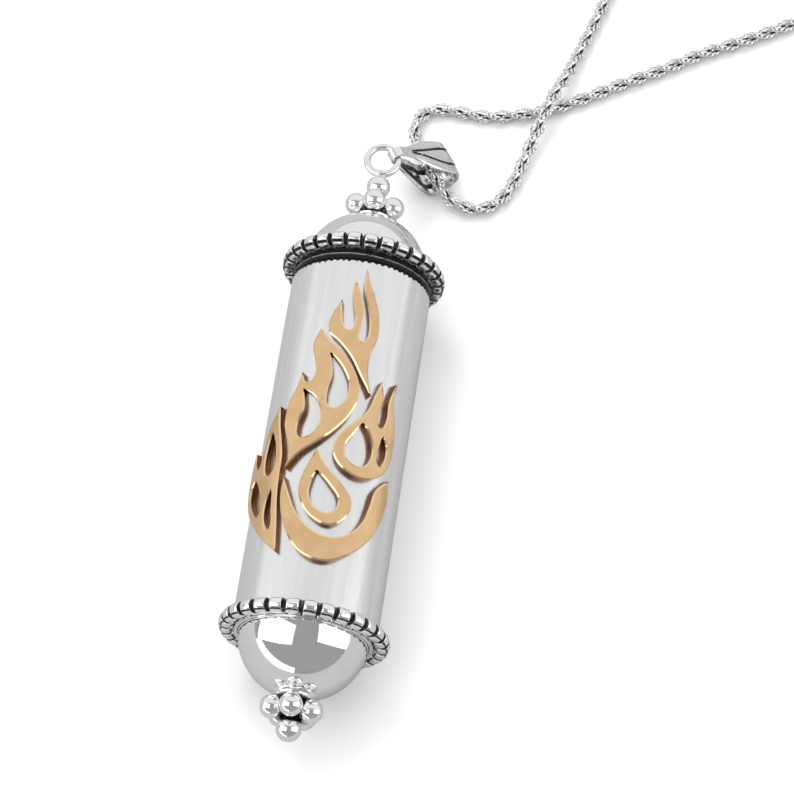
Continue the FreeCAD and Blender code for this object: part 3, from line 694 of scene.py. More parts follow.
@dataclass(frozen=True)
class SeamBlack:
    """Blackened rim with a thin bright line where two parts close on each other."""

    name: str
    seam: float                 # y of the line
    width: float = 0.05
    rim_r: float = 0.0          # inside this distance from the axis the metal is plain satin
    axis_z: float = 0.0

    def made(self) -> bpy.types.Material:
        """Build the material."""
        shader = Shader(self.name)
        place = shader.place(centre=(0, self.seam, self.axis_z))
        x, y, z = shader.axes(place)
        rub = shader.noise(place, 2.5, 4.0, 0.6)
        line = abs(y + (rub - 0.5) * 0.08).rising(self.width, self.width * 0.3)
        line = line * rub.rising(0.36, 0.5)
        bright = line.highest((x * x + z * z).root().rising(self.rim_r, self.rim_r - 0.08))
        cloud = shader.noise(place, 0.8, 3.0)
        return shader.finish(
            Base_Color=shader.blend(bright, BLACK_AND_SHADE, grey(0.82)), Metallic=bright,
            Roughness=cloud * 0.2 + 0.2, Specular_IOR_Level=0.15)


@dataclass(frozen=True)
class Gold:
    """Gold with a grain from satin to polished."""

    name: str
    colour: tuple[float, float, float, float]
    shade: tuple[float, float, float, float]
    roughness: float
    grain: float                # depth of the grain in millimetres

    def made(self) -> bpy.types.Material:
        """Build the material."""
        shader = Shader(self.name)
        fine = shader.noise(shader.place((5.0, 1.4, 5.0)), 1.0, 4.0, 0.65)
        broad = shader.noise(shader.place((0.35, 0.35, 0.35)), 1.0, 3.0)
        return shader.finish(
            Base_Color=shader.blend(broad.rising(0.3, 0.7), self.colour, self.shade), Metallic=1.0,
            Roughness=(fine - 0.5) * 0.12 + (broad - 0.5) * 0.08 + self.roughness,
            Normal=shader.bump(fine, self.grain))


@dataclass(frozen=True)
class ChainSilver:
    """Bright chain wire with painted shade: it darkens towards the middle of the rope."""

    name: str = "chain_silver"
    brightness: float = 0.92
    dark_depth: float = 0.22    # distance from the rope's middle below which the wire is painted black as shade
    bright_depth: float = 0.44

    def made(self) -> bpy.types.Material:
        """Build the material."""
        shader = Shader(self.name)
        place = shader.place()
        shade_and_roughness_noise = shader.noise(place, 1.8, 3.0)
        # painted shade: the links darken towards the rope's middle, where they shade each other
        bright_share = (shader.attribute("depth") + (shade_and_roughness_noise - 0.5) * 0.12).rising(self.dark_depth,
                                                                         self.bright_depth)
        return shader.finish(
            Base_Color=shader.blend(bright_share, grey(0.03), grey(self.brightness)), Metallic=1.0,
            Roughness=(1 - bright_share) * 0.3 + shade_and_roughness_noise.rising(0.4, 0.8) * 0.05 + 0.06)


@dataclass(frozen=True)
class Dull:
    """A matte material with a weave or mottle of two tones."""

    name: str
    light: tuple[float, float, float, float]
    dark: tuple[float, float, float, float]
    scale: tuple[float, float, float]
    roughness: float = 0.8
    relief: float = 0.03

    def made(self) -> bpy.types.Material:
        """Build the material."""
        shader = Shader(self.name)
        place = shader.place(self.scale)
        mottle = shader.noise(place, 1.0, 5.0, 0.6)
        return shader.finish(
            Base_Color=shader.blend(mottle.rising(0.3, 0.7), self.light, self.dark),
            Metallic=0.0, Roughness=(mottle - 0.5) * 0.2 + self.roughness,
            Normal=shader.bump(mottle, self.relief))


class Finishes:
    """Every finish of the case, made once."""

    def __init__(self, case: CaseLayout) -> None:
        """Make the finishes for a case.

        Args:
            case: where the case's parts are.
        """
        self.satin = SatinSilver(mouth=case.middle_y + case.band_low,
                                 axis_z=case.axis_z).made()
        self.mirror = MirrorSilver().made()
        planes = {side: case.middle_y + sign * case.ring_plane
                  for side, sign in (("top", 1), ("bottom", -1))}
        self.beads = {
            # the top ring's beads carry the painted dark reflection line
            "top": BeadSilver("top_bead_silver", planes["top"], case.axis_z, (-0.78, -0.68),
                              0.46, 0.20).made(),
            "bottom": BeadSilver("bottom_bead_silver", planes["bottom"], case.axis_z,
                                 (-0.90, -0.78), 0.56).made()}
        self.black = BlackenedSilver().made()
        # painted shade in the hollows between the balls and on the collar beneath them
        self.trim = CreviceShadeSilver("trim_silver", (0.0, case.axis_z), 1.05, 1.7).made()
        self.collar = CreviceShadeSilver("collar_silver", (0.0, case.axis_z), 1.35, 1.75).made()
        self.bail = MirrorSilver("bail_silver", 0.96, 0.15, 0.01).made()
        # painted shade: the bail's inside is mottled blackened silver for the deep shade within it
        self.bail_inside_shade = BlackenedSilver("bail_inside_shade", 0.5, 0.5).made()
        self.cap_rim = SeamBlack("cap_rim", case.middle_y + case.mouth + 0.04, 0.07,
                                 case.tube_r - 0.1, case.axis_z).made()
        self.band = SeamBlack("band_black", case.middle_y + case.mouth, 0.06).made()
        self.gold_face = Gold("gold_face", (0.80, 0.52, 0.27, 1), (0.88, 0.60, 0.34, 1),
                              0.22, 0.004).made()
        # the edge gold is polished, and lighter as a painted highlight; the wall gold is dark brown
        # as painted shade
        self.gold_edge_polish_and_highlight = Gold("gold_edge_polish_and_highlight", (0.95, 0.72, 0.45, 1), (0.90, 0.64, 0.38, 1),
                              0.10, 0.002).made()
        self.gold_wall_shade = Gold("gold_wall_shade", (0.20, 0.075, 0.03, 1), (0.34, 0.15, 0.06, 1),
                              0.35, 0.01).made()
        self.chain = ChainSilver().made()
        self.parchment = Dull("parchment", (0.80, 0.70, 0.50, 1), (0.66, 0.54, 0.34, 1),
                              (1.2, 0.5, 1.2)).made()
        self.thread_wrap = Dull("thread_wrap", (0.62, 0.53, 0.40, 1), (0.30, 0.24, 0.16, 1),
                                (2.0, 9.0, 2.0)).made()
        self.seal = Dull("seal_rubber", (0.03, 0.03, 0.03, 1), (0.015, 0.015, 0.015, 1),
                         (3.0, 3.0, 3.0), 0.55, 0.01).made()
        self.tie = Dull("tie_film", (0.85, 0.85, 0.82, 1), (0.74, 0.74, 0.70, 1),
                        (1.5, 6.0, 1.5), 0.35, 0.01).made()


# ---- the case's pieces -------------------------------------------------------------------------
@dataclass
class Tube:
    """The satin tube, its blackened band at the mouth and the parts inside it."""

    case: CaseLayout
    finishes: Finishes
    wall: float = 0.63
    groove_depth: float = 0.18
    step_length: float = 1.4
    edge: float = 0.05
    teeth: int = 68
    tooth: float = 0.16
    tooth_reach: float = 0.035  # up the band's side, within which its points are drawn down
    tooth_share: float = 0.95   # of a tooth's depth, drawn down in its middle
    band_sink: float = 0.02     # room between the band and the groove's floor
    band_edge: float = 0.03     # bevel of the band's lower edge
    mouth_edge: float = 0.04    # and of its upper edge
    roll_inner: float = 0.8     # inside radius of the rolled parchment
    roll_turns: int = 4
    roll_steps: int = 36        # in each turn
    roll_share: float = 0.97    # of the room for the roll, left for the sheet's thickness
    sheet: float = 0.16

    def build(self) -> None:
        """Make the tube, the band and the scroll, and dress the parts that stay as they are."""
        case, inside = self.case, self.case.tube_r - self.wall
        groove, foot = case.tube_r - self.groove_depth, self.case.tube_foot + self.step_length
        tube = BENCH.turned("tube", [
            (inside, case.tube_foot), (case.seat_r, case.tube_foot), (case.seat_r, foot),
            (case.tube_r - self.edge, foot), (case.tube_r, foot + self.edge),
            (case.tube_r, case.band_low - self.edge), (case.tube_r - self.edge, case.band_low),
            (groove, case.band_low), (groove, case.mouth), (inside, case.mouth),
            (inside, case.tube_foot)], 192)
        BENCH.deliver(tube, case.on_axis, "case", ["case_tube"], "satin_silver",
                      [self.finishes.satin])
        self.band()
        self.scroll()
        for node, finish in (("thread_bush", self.finishes.satin),
                             ("seal_washer", self.finishes.seal),
                             ("scroll_tie", self.finishes.thread_wrap),
                             ("cap_plug", self.finishes.cap_rim)):
            dress_node(node, finish)

    def band(self) -> None:
        """The band round the mouth, its lower edge drawn down into teeth."""
        case = self.case
        low, high = case.band_low + self.tooth, case.mouth - self.mouth_edge
        inside = case.tube_r - self.groove_depth + self.band_sink
        band = BENCH.turned("mouth_band_milled", [
            (inside, low), (case.tube_r - self.band_edge, low),
            (case.tube_r, low + self.band_edge), (case.tube_r, high),
            (case.tube_r - self.mouth_edge, case.mouth),
            (inside, case.mouth), (inside, low)], 4 * self.teeth)

        def toothed(point: Vector) -> Vector:
            """Draw the lower edge down in the middle of each tooth."""
            if point.y > low + self.tooth_reach:
                return point
            turn = math.atan2(point.x, point.z) / (2 * math.pi) * self.teeth
            share = abs((turn % 1) - 0.5) * 2
            point.y -= self.tooth * (1 - share) * self.tooth_share
            return point

        BENCH.shape(band, toothed)
        BENCH.deliver(band, case.on_axis, "case", ["mouth_band"], "dark_silver",
                      [self.finishes.band], 30)

    def scroll(self) -> None:
        """The parchment, rolled into a loose spiral."""
        low, high = box_mm("scroll")
        inner, room = self.roll_inner, (high.x - low.x) / 2 - self.roll_inner
        steps, spiral = self.roll_steps * self.roll_turns, []
        for i in range(steps + 1):
            angle, radius = 2 * math.pi * i / self.roll_steps, inner + room * i / steps
            spiral.append((radius * math.cos(angle), 0, radius * math.sin(angle)))
        piece = BENCH.line("parchment_roll", spiral)
        with editing(piece):
            bpy.ops.mesh.extrude_region_move(
                TRANSFORM_OT_translate={"value": (0, high.y - low.y, 0)})
        BENCH.modified(piece, "SOLIDIFY", thickness=self.sheet, offset=0)
        place = Matrix.Translation(((low.x + high.x) / 2, low.y, (low.z + high.z) / 2))
        squeeze = Matrix.Diagonal((self.roll_share, 1, self.roll_share, 1))
        BENCH.deliver(piece, place @ squeeze, "case", ["scroll"], "parchment",
                      [self.finishes.parchment])


def dress_node(node: str, finish: bpy.types.Material) -> None:
    """Give a CAD node that stays in view its finish."""
    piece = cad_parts[node]
    piece.data.materials.clear()
    piece.data.materials.append(finish)


@dataclass
class End:
    """What both ends share: beaded ring, dome, neck, ball trim and end ball."""

    case: CaseLayout
    finishes: Finishes
    side: str                   # top or bottom
    body: str
    beads: int = 30
    barrel_half: float = 0.74
    barrel_round: float = 0.42
    bead_gap: float = 0.15      # black at each end of a bead
    bead_face: float = 0.82     # flat part of a bead's end, as a share
    wire_r: float = 0.45
    wire_flat: float = 0.94     # of the wire, along the case
    balls: int = 5
    ball_r: float = 1.15
    ball_gap: float = 0.01
    ball_foot: float = 24.0     # half the angle of a ball's soldered flat, in degrees
    pin_flat: float = 0.93      # from an end ball's middle to its flat, as a share
    pin_foot: float = 21.0      # half the angle of that flat, in degrees
    wall: float = 0.6

    @property
    def place(self) -> Matrix:
        """Where the end's pieces go."""
        return self.case.on_axis if self.side == "top" else self.case.turned_over()

    def build(self) -> None:
        """Make the pieces of the end."""
        self.beaded_ring()
        self.dome()
        self.neck()
        self.ball_trim()

    def beaded_ring(self) -> None:
        """Barrel beads shoulder to shoulder on a wire."""
        case, radius, half = self.case, self.case.bead_r, self.barrel_half
        swell = radius - self.barrel_round
        outline = [(0, -half), (swell * self.bead_face, -half)]
        outline += bend((swell, -half + self.barrel_round), self.barrel_round, -80, 0, 4)
        outline += [(r, -y) for r, y in reversed(outline)]
        bead = BENCH.turned("bead", outline, 20)
        for face in bead.data.polygons:
            face.material_index = int(abs(face.center.y) > half - self.bead_gap)
        wire = BENCH.start("wire", bpy.ops.mesh.primitive_torus_add, major_radius=case.ring_r,
                           minor_radius=self.wire_r, major_segments=120, minor_segments=10,
                           rotation=(math.pi / 2, 0, 0))
        with editing(wire):
            bpy.ops.transform.resize(value=(1, self.wire_flat, 1))
        wire.data.transform(wire.matrix_world)
        wire.matrix_world = Matrix.Identity(4)
        for face in wire.data.polygons:
            face.material_index = 1
        copies = [wire] + BENCH.ringed(bead, self.beads, case.ring_r, 0.5,
                                       Matrix.Rotation(math.pi / 2, 4, "Z"))
        for copy in copies:
            for finish in (self.finishes.beads[self.side], self.finishes.black):
                copy.data.materials.append(finish)
        ring = BENCH.join(copies, f"{self.side}_beads")
        lift = Matrix.Translation((0, case.ring_plane, 0))
        BENCH.deliver(ring, self.place @ lift, self.body, [f"{self.side}_bead_ring"],
                      "polished_silver", [self.finishes.beads[self.side], self.finishes.black], 50)

    def dome(self) -> None:
        """The thin dome with its skirt inside the ring."""
        radius, low = self.case.dome_r, -self.case.dome_skirt
        inner = radius - self.wall
        outline = bend((0, 0), radius, 90, 0, 40) + [(radius, low), (inner, low)]
        outline += bend((0, 0), inner, 0, 90, 24)
        outline[0], outline[-1] = (0, radius), (0, inner)
        dome = BENCH.turned(f"{self.side}_dome_shell", outline, 128)
        lift = Matrix.Translation((0, self.case.ring_plane, 0))
        BENCH.deliver(dome, self.place @ lift, self.body, [f"{self.side}_dome"],
                      "polished_silver", [self.finishes.mirror])

    def neck(self) -> None:
        """The collar between the dome and the ball trim, with its solder."""
        case = self.case
        radius, top = case.neck_r, case.neck_top
        seat = case.ring_plane + math.sqrt(case.dome_r ** 2 - radius ** 2)
        collar = BENCH.turned(f"{self.side}_collar", [
            (0, top), (radius - 0.15, top), (radius, top - 0.12), (radius - 0.05, seat + 0.25),
            (radius + 0.05, seat + 0.02), (radius + 0.22, seat - 0.09), (radius - 0.1, seat - 0.05),
            (0, seat + 0.2), (0, top)], 64)
        BENCH.deliver(collar, self.place, self.body, [f"{self.side}_neck"], "polished_silver",
                      [self.finishes.collar])

    def ball_trim(self) -> None:
        """Five solid balls in a ring, each with a flat where it is soldered on."""
        case = self.case
        ring_r = self.ball_r / math.sin(math.pi / self.balls) + self.ball_gap
        outline = [(0, -self.ball_r * math.cos(math.radians(self.ball_foot)))]
        outline += bend((0, 0), self.ball_r, self.ball_foot - 90, 90, 18)
        outline[-1] = (0, self.ball_r)
        ball = BENCH.turned("ball", outline, 36)
        trim = BENCH.join(BENCH.ringed(ball, self.balls, ring_r), f"{self.side}_ball_trim")
        lift = Matrix.Translation((0, case.neck_top + self.ball_r, 0))
        BENCH.deliver(trim, self.place @ lift, self.body, [f"{self.side}_granules"],
                      "polished_silver", [self.finishes.trim])

    def end_ball(self, node: str, name: str) -> None:
        """The ball on the end's pin, with a small flat where the pin goes in."""
        low, high = box_mm(node)
        radius = (high.x - low.x) / 2
        outline = [(0, -radius * self.pin_flat)]
        outline += bend((0, 0), radius, self.pin_foot - 90, 90, 22)
        outline[-1] = (0, radius)
        ball = BENCH.turned(name, outline, 48)
        offset = abs((low.y if self.side == "bottom" else high.y) - self.case.middle_y) - radius
        BENCH.deliver(ball, self.place @ Matrix.Translation((0, offset, 0)), self.body, [node],
                      "polished_silver", [self.finishes.mirror])
        dress_node(f"{self.side}_pin", self.finishes.black)


@dataclass
class Flame:
    """The gold flame: six flat pieces bent round the tube, with polished edges lightened as painted
    highlight and walls darkened as painted shade.
    """

    case: CaseLayout
    finishes: Finishes
    seat: float = 0.03          # where a piece's underside is, above the tube
    edge: float = 0.16          # width of the polished edge
    edge_drop: float = 0.10     # how far the edge slopes down
    curve_reach: float = 0.36   # of a curve's poles from its ends, as a share of its chord
    tip_reach: float = 0.33     # and at a sharp tip
    step: float = 0.32          # along an outline
    tip_edge: float = 0.12      # share of the edge's width at a sharp tip
    tip_run: float = 0.9        # distance over which the edge gains its whole width
    top_normal: float = 0.97    # a face whose normal is steeper than this is on top
    edge_normal: float = 0.3    # and one steeper than this is on the edge
    strip: float = 0.35         # width of the flat strips that a piece is bent from

    PIECES: ClassVar[dict] = {
        "crown": (0.70, [(
            (0.85, 16.3, 1), (1.8, 13.9), (2.6, 11.6), (2.8, 9.2), (2.35, 7.0), (2.5, 5.0),
            (3.0, 3.0, 1), (1.85, 4.7), (0.7, 6.6), (-0.6, 8.1), (-1.65, 9.1), (-1.75, 10.6),
            (-0.95, 12.7, 1), (-0.7, 11.0), (-0.35, 9.8), (0.2, 9.5), (0.5, 10.4), (0.15, 12.2),
            (-0.15, 13.6), (0.05, 14.9, 1), (0.8, 13.2), (1.25, 11.4), (1.15, 9.7), (1.25, 8.5),
            (1.75, 8.7), (1.85, 10.3), (1.45, 12.2), (0.85, 14.2))]),
        "left": (0.66, [(
            (-2.5, 9.5, 1), (-1.4, 8.2), (0.0, 6.9), (1.3, 5.1), (1.95, 3.1), (1.6, 1.0),
            (0.5, -1.0), (-1.0, -2.6), (-2.6, -3.9), (-3.8, -5.4, 1), (-3.7, -3.6), (-4.3, -1.8),
            (-4.75, -0.2), (-4.6, 1.7), (-4.0, 3.2), (-3.6, 4.8, 1), (-3.0, 3.7), (-2.3, 4.6),
            (-2.6, 6.2), (-3.0, 7.8)),
            ((-1.2, 6.9, 1), (0.1, 5.4), (0.9, 3.6), (0.6, 1.7), (-0.5, 1.1), (-0.9, 2.7),
             (-0.7, 4.7)),
            ((-3.2, 3.0, 1), (-1.9, 2.0), (-1.2, 0.2), (-1.5, -1.5), (-2.8, -2.2), (-3.2, -0.8),
             (-2.8, 0.9))]),
        "right": (0.70, [(
            (5.5, 5.3, 1), (5.55, 3.2), (6.05, 1.2), (6.3, -0.9), (6.15, -3.0), (5.2, -4.7),
            (3.6, -5.6), (1.9, -5.3), (0.7, -4.2), (0.4, -2.8), (1.0, -1.2), (2.1, 0.2), (3.0, 1.6),
            (3.4, 3.2), (3.9, 4.9, 1), (4.3, 3.2), (4.15, 1.4), (4.45, 0.2), (4.95, 1.2),
            (4.95, 3.2)),
            ((2.7, 0.1, 1), (3.6, -1.2), (3.95, -3.0), (3.2, -4.4), (1.8, -4.0), (1.5, -2.6),
             (2.1, -1.2)),
            ((4.9, -0.5, 1), (5.45, -1.9), (5.1, -3.6), (4.65, -3.2), (4.6, -1.9))]),
        "outer": (0.62, [(
            (-5.6, 1.5, 1), (-5.2, -0.6), (-4.75, -2.2), (-4.35, -4.0), (-4.3, -6.0), (-4.1, -8.5),
            (-3.7, -11.0), (-3.3, -14.1, 1), (-4.9, -12.8), (-6.6, -11.1), (-8.2, -9.1),
            (-9.3, -6.8), (-9.4, -4.6), (-8.8, -2.6, 1), (-8.2, -4.2), (-7.5, -4.6), (-7.1, -3.0),
            (-6.9, -1.2), (-6.3, 0.4)),
            ((-6.1, -1.0, 1), (-5.35, -3.0), (-5.2, -5.2), (-5.9, -5.8), (-6.4, -4.6),
             (-6.4, -2.9)),
            ((-7.8, -5.7, 1), (-6.8, -7.1), (-6.2, -8.8), (-6.3, -10.0), (-7.2, -9.3),
             (-8.1, -7.9), (-8.3, -6.7)),
            ((-4.95, -7.2, 1), (-4.75, -9.2), (-4.5, -11.6), (-5.15, -10.8), (-5.35, -9.0))]),
        "bowl": (0.68, [(
            (6.35, -4.6, 1), (6.6, -7.0), (6.0, -9.6), (4.7, -12.0), (3.0, -13.8), (1.2, -14.7),
            (-0.7, -14.3), (-2.1, -12.9), (-3.1, -10.9), (-3.7, -8.6), (-3.8, -6.2, 1),
            (-3.0, -7.9), (-2.0, -9.9), (-0.6, -11.5), (1.2, -12.2), (2.9, -11.5), (4.1, -9.9),
            (4.6, -8.1), (5.0, -6.2))]),
        "heart": (0.60, [(
            (-1.0, -3.4, 1), (0.1, -5.0), (1.6, -6.5), (2.8, -8.1), (2.6, -9.8), (1.3, -11.0),
            (-0.3, -10.6), (-1.5, -9.3), (-2.1, -7.6), (-1.8, -5.6)),
            ((-0.7, -5.6, 1), (0.6, -6.9), (1.6, -8.3), (1.1, -9.7), (-0.2, -9.5), (-1.0, -8.3),
             (-1.0, -6.8))]),
    }

    def build(self) -> None:
        """Make the six pieces."""
        for name, (height, loops) in self.PIECES.items():
            self.piece(name, height, loops)

    def traced(self, points: Sequence[Sequence[float]]) -> list[tuple[Vector, bool]]:
        """Walk round a closed outline.

        Args:
            points: (distance round the tube, y) and a third number at a sharp tip.
        Returns:
            Points on the smooth outline, each with whether it is a sharp tip.
        """
        spots = [Vector(p[:2]) for p in points]
        count, walked = len(spots), []
        for i, here in enumerate(spots):
            there, sharp = spots[(i + 1) % count], len(points[i]) > 2
            next_sharp = len(points[(i + 1) % count]) > 2
            chord = there - here
            leave = (chord * self.tip_reach if sharp else
                     (there - spots[i - 1]).normalized() * self.curve_reach * chord.length)
            arrive = (chord * self.tip_reach if next_sharp else
                      (spots[(i + 2) % count] - here).normalized()
                      * self.curve_reach * chord.length)
            poles = (here, here + leave, there - arrive, there)
            steps = max(3, round(chord.length / self.step))
            for k in range(steps):
                t = k / steps
                weights = ((1 - t) ** 3, 3 * t * (1 - t) ** 2, 3 * t * t * (1 - t), t ** 3)
                spot = sum((p * w for p, w in zip(poles, weights)), Vector((0, 0)))
                walked.append((spot, sharp and k == 0))
        return walked

    def drawn_in(self, walked: list[tuple[Vector, bool]], hole: bool) -> list[Vector]:
        """The same outline moved into the metal by the edge's width, less near sharp tips.

        Args:
            walked: the outline's points.
            hole: whether the metal is outside the outline.
        Returns:
            The inner line's points, one for each.
        """
        spots = [spot for spot, _ in walked]
        tips = [spot for spot, sharp in walked if sharp]
        count = len(spots)
        area = sum(a.x * b.y - b.x * a.y for a, b in zip(spots, spots[1:] + spots[:1]))
        turn = (1 if area > 0 else -1) * (-1 if hole else 1)
        inner = []
        for i, spot in enumerate(spots):
            along = (spots[(i + 1) % count] - spots[i - 1]).normalized()
            inward = Vector((-along.y, along.x)) * turn
            near = min(((spot - tip).length for tip in tips), default=math.inf)
            inner.append(spot + inward * self.edge * min(1.0, self.tip_edge + near / self.tip_run))
        return inner

    def piece(self, name: str, height: float, loops: Sequence[Sequence]) -> None:
        """Make one piece of the flame.

        Args:
            name: which piece.
            height: its thickness with its seat.
            loops: its outline, then its holes.
        """
        wires, inward = [], {}
        for number, loop in enumerate(loops):
            walked = self.traced(loop)
            for (rim, _), top in zip(walked, self.drawn_in(walked, number > 0)):
                inward[(round(rim.x, 3), round(rim.y, 3))] = top
            wires.append(self.closed_wire(f"rim_{number}", [rim for rim, _ in walked]))
        shell = BENCH.join(wires, f"flame_{name}_gold")
        with editing(shell):
            for rise in (height - self.edge_drop - self.seat, self.edge_drop):
                bpy.ops.mesh.extrude_region_move(TRANSFORM_OT_translate={"value": (0, 0, rise)})

        def leaned(point: Vector) -> Vector:
            """Draw the top rim in over the metal."""
            if point.z > height - LEVEL:
                top = inward[(round(point.x, 3), round(point.y, 3))]
                point.x, point.y = top.x, top.y
            return point

        BENCH.shape(shell, leaned)
        for level in (self.seat, height):
            self.closed_at(shell, level)
        # top faces take satin gold, edges polished gold with painted highlight, walls dark brown
        # gold as painted shade
        for face in shell.data.polygons:
            up = face.normal.z
            face.material_index = 0 if up > self.top_normal else 1 if up > self.edge_normal else 2
        self.bent_round(shell)
        BENCH.deliver(shell, self.case.on_axis, "case", [f"flame_{name}"], "gold",
                      [self.finishes.gold_face, self.finishes.gold_edge_polish_and_highlight, self.finishes.gold_wall_shade],
                      25)

    def closed_wire(self, name: str, spots: Sequence[Vector]) -> bpy.types.Object:
        """A closed chain of edges at the height of the seat."""
        wire = BENCH.line(name, [(spot.x, spot.y, self.seat) for spot in spots])
        wire.data.edges.foreach_set("select", [False] * len(wire.data.edges))
        ends = (0, len(spots) - 1)
        wire.data.vertices.foreach_set("select", [i in ends for i in range(len(spots))])
        with editing(wire, everything=False):
            bpy.ops.mesh.edge_face_add()
        return wire

    def closed_at(self, shell: bpy.types.Object, level: float) -> None:
        """Fill the rims that lie at one height, leaving the holes open."""
        points = shell.data.vertices
        BENCH.pick_faces(shell, lambda face: False)
        for edge in shell.data.edges:
            edge.select = all(abs(points[i].co.z - level) < LEVEL for i in edge.vertices)
        for vertex in points:
            vertex.select = abs(vertex.co.z - level) < LEVEL
        with editing(shell, everything=False):
            bpy.ops.mesh.fill(use_beauty=True)
            bpy.ops.mesh.select_all(action="SELECT")
            bpy.ops.mesh.normals_make_consistent(inside=False)

    def bent_round(self, shell: bpy.types.Object) -> None:
        """Cut the flat piece into strips and wrap it round the tube."""
        across = [vertex.co.x for vertex in shell.data.vertices]
        cuts = int((max(across) - min(across)) / self.strip)
        with editing(shell):
            for i in range(1, cuts + 1):
                bpy.ops.mesh.select_all(action="SELECT")
                bpy.ops.mesh.bisect(plane_co=(min(across) + i * self.strip, 0, 0),
                                    plane_no=(1, 0, 0))
        radius = self.case.tube_r

        def wrapped(point: Vector) -> Vector:
            """Lay a point of the flat piece on the tube."""
            turn = point.x / radius
            out = radius + point.z
            return Vector((out * math.sin(turn), point.y, out * math.cos(turn)))

        BENCH.shape(shell, wrapped)


@dataclass
class Hanger:
    """The hanging ring, soldered on the stem ball, and the bail that swings on it."""

    case: CaseLayout
    finishes: Finishes
    wire_r: float = 0.35
    azimuth: float = 33.0
    reach: float = 7.4
    end_r: float = 2.2
    band: float = 0.5
    neck_r: float = 0.5
    neck_half: float = 0.55
    wide_half: float = 2.1
    crown: float = 0.16         # how much thicker the band is along its middle
    crown_run: float = 3.0      # along the bail, over which the crown rises
    rim_start: float = 0.93     # across the band, where its rounded rim starts, as a share
    rim_slope: float = 1.2
    shoulder: float = 0.6       # along the bail, where the leaf starts to widen
    flare_run: float = 0.86     # share of the reach over which it widens
    flare_power: float = 1.15
    front_loss: float = 0.24    # of its half width, at its front
    groove_width: float = 0.20
    groove_depth: float = 0.16
    groove_fall: float = 2.2    # how steep a groove's sides are
    groove_start: float = 1.4   # along the bail
    groove_past: float = 1.2    # beyond the middle of the wide end
    groove_inner: float = 0.10  # across the band where a groove starts, as a share
    groove_spread: float = 0.36     # by which the grooves spread towards the wide end
    spread_start: float = 1.2
    spread_run: float = 0.7     # share of the reach over which they spread
    solder_swell: float = 0.35  # of the ring's wire, as a share
    solder_size: Point = (0.55, 0.5)
    clearance: float = 0.02     # under the bail's wide end
    weld: float = 0.01

    def build(self) -> None:
        """Make the ring and the bail."""
        low, high = box_mm("hanging_ring")
        centre = (low + high) / 2
        ring_r = (high.x - low.x) / 2 - self.wire_r
        ring = BENCH.start("hanging_ring_wire", bpy.ops.mesh.primitive_torus_add,
                           major_radius=ring_r, minor_radius=self.wire_r, major_segments=80,
                           minor_segments=24)

        def soldered(point: Vector) -> Vector:
            """Thicken the wire a little where it is soldered to the stem."""
            across, along = self.solder_size
            near = math.exp(-((point.x / across) ** 2 + ((point.y + ring_r) / along) ** 2))
            core = Vector((point.x, point.y, 0)).normalized() * ring_r
            return core + (point - core) * (1 + self.solder_swell * near)

        BENCH.shape(ring, soldered)
        BENCH.deliver(ring, Matrix.Translation(centre), "cap", ["hanging_ring"],
                      "polished_silver", [self.finishes.mirror])
        self.bail(centre, ring_r)

    def loop_point(self, share: float) -> tuple[Vector, Vector, float]:
        """A point of the bail's loop, seen from the side.

        Args:
            share: how far round the loop, from 0 at the neck's back to 1.
        Returns:
            The point on the band's outer side, the way out of the band there, and how far it is
            along the bail, all before the bail is tilted.
        """
        small, large, reach = self.neck_r + self.band, self.end_r, self.reach
        tilt = math.asin((large - small) / reach)
        straight = math.sqrt(reach ** 2 - (large - small) ** 2)
        half_small, half_large = (math.pi / 2 - tilt) * small, (math.pi / 2 + tilt) * large
        total = half_small + straight + half_large
        run = (share if share < 0.5 else 1 - share) * 2 * total
        if run < half_small:
            angle = math.pi - run / small
            spot, out = Vector((small * math.cos(angle), small * math.sin(angle))), angle
        elif run < half_small + straight:
            out = math.pi / 2 + tilt
            spot = (Vector((math.cos(out), math.sin(out))) * small
                    + Vector((math.cos(tilt), math.sin(tilt))) * (run - half_small))
        else:
            angle = math.pi / 2 + tilt - (run - half_small - straight) / large
            spot, out = Vector((reach + large * math.cos(angle), large * math.sin(angle))), angle
        sign = 1 if share < 0.5 else -1
        way = Vector((math.cos(out), 0, sign * math.sin(out)))
        return Vector((spot.x, 0, sign * spot.y)), way, spot.x

    def half_width(self, along: float) -> float:
        """Half the band's width at a distance along the bail."""
        t = held((along - self.shoulder) / (self.reach * self.flare_run))
        rise = math.sin(t * math.pi / 2) ** self.flare_power
        past = max(0.0, along - self.reach) / self.end_r
        return (self.neck_half + (self.wide_half - self.neck_half) * rise
                - self.front_loss * past ** 2)

    def bail(self, centre: Vector, ring_r: float) -> None:
        """The band: narrow at its neck, wide and crowned at its end, with two grooves."""
        rounds, across = 168, 84
        outer = BENCH.start("bail_band", bpy.ops.mesh.primitive_grid_add, x_subdivisions=rounds,
                            y_subdivisions=across, size=1)

        def surface(point: Vector) -> Vector:
            """Lay a point of the flat grid on the band's outer side."""
            share, side = point.x + 0.5, point.y * 2
            spot, way, along = self.loop_point(share % 1.0)
            half = self.half_width(along)
            swell = self.crown * (1 - side * side) * held(along / self.crown_run) - self.crown
            line = abs(abs(side) - self.groove_at(along))
            depth = self.groove_depth * math.exp(-(line * half / self.groove_width) ** 2
                                                 * self.groove_fall)
            if not self.groove_start < along < self.reach + self.groove_past:
                depth = 0.0
            rim = max(0.0, abs(side) - self.rim_start) * self.rim_slope
            out = swell - depth - rim
            return spot + Vector((0, side * half, 0)) + way * out

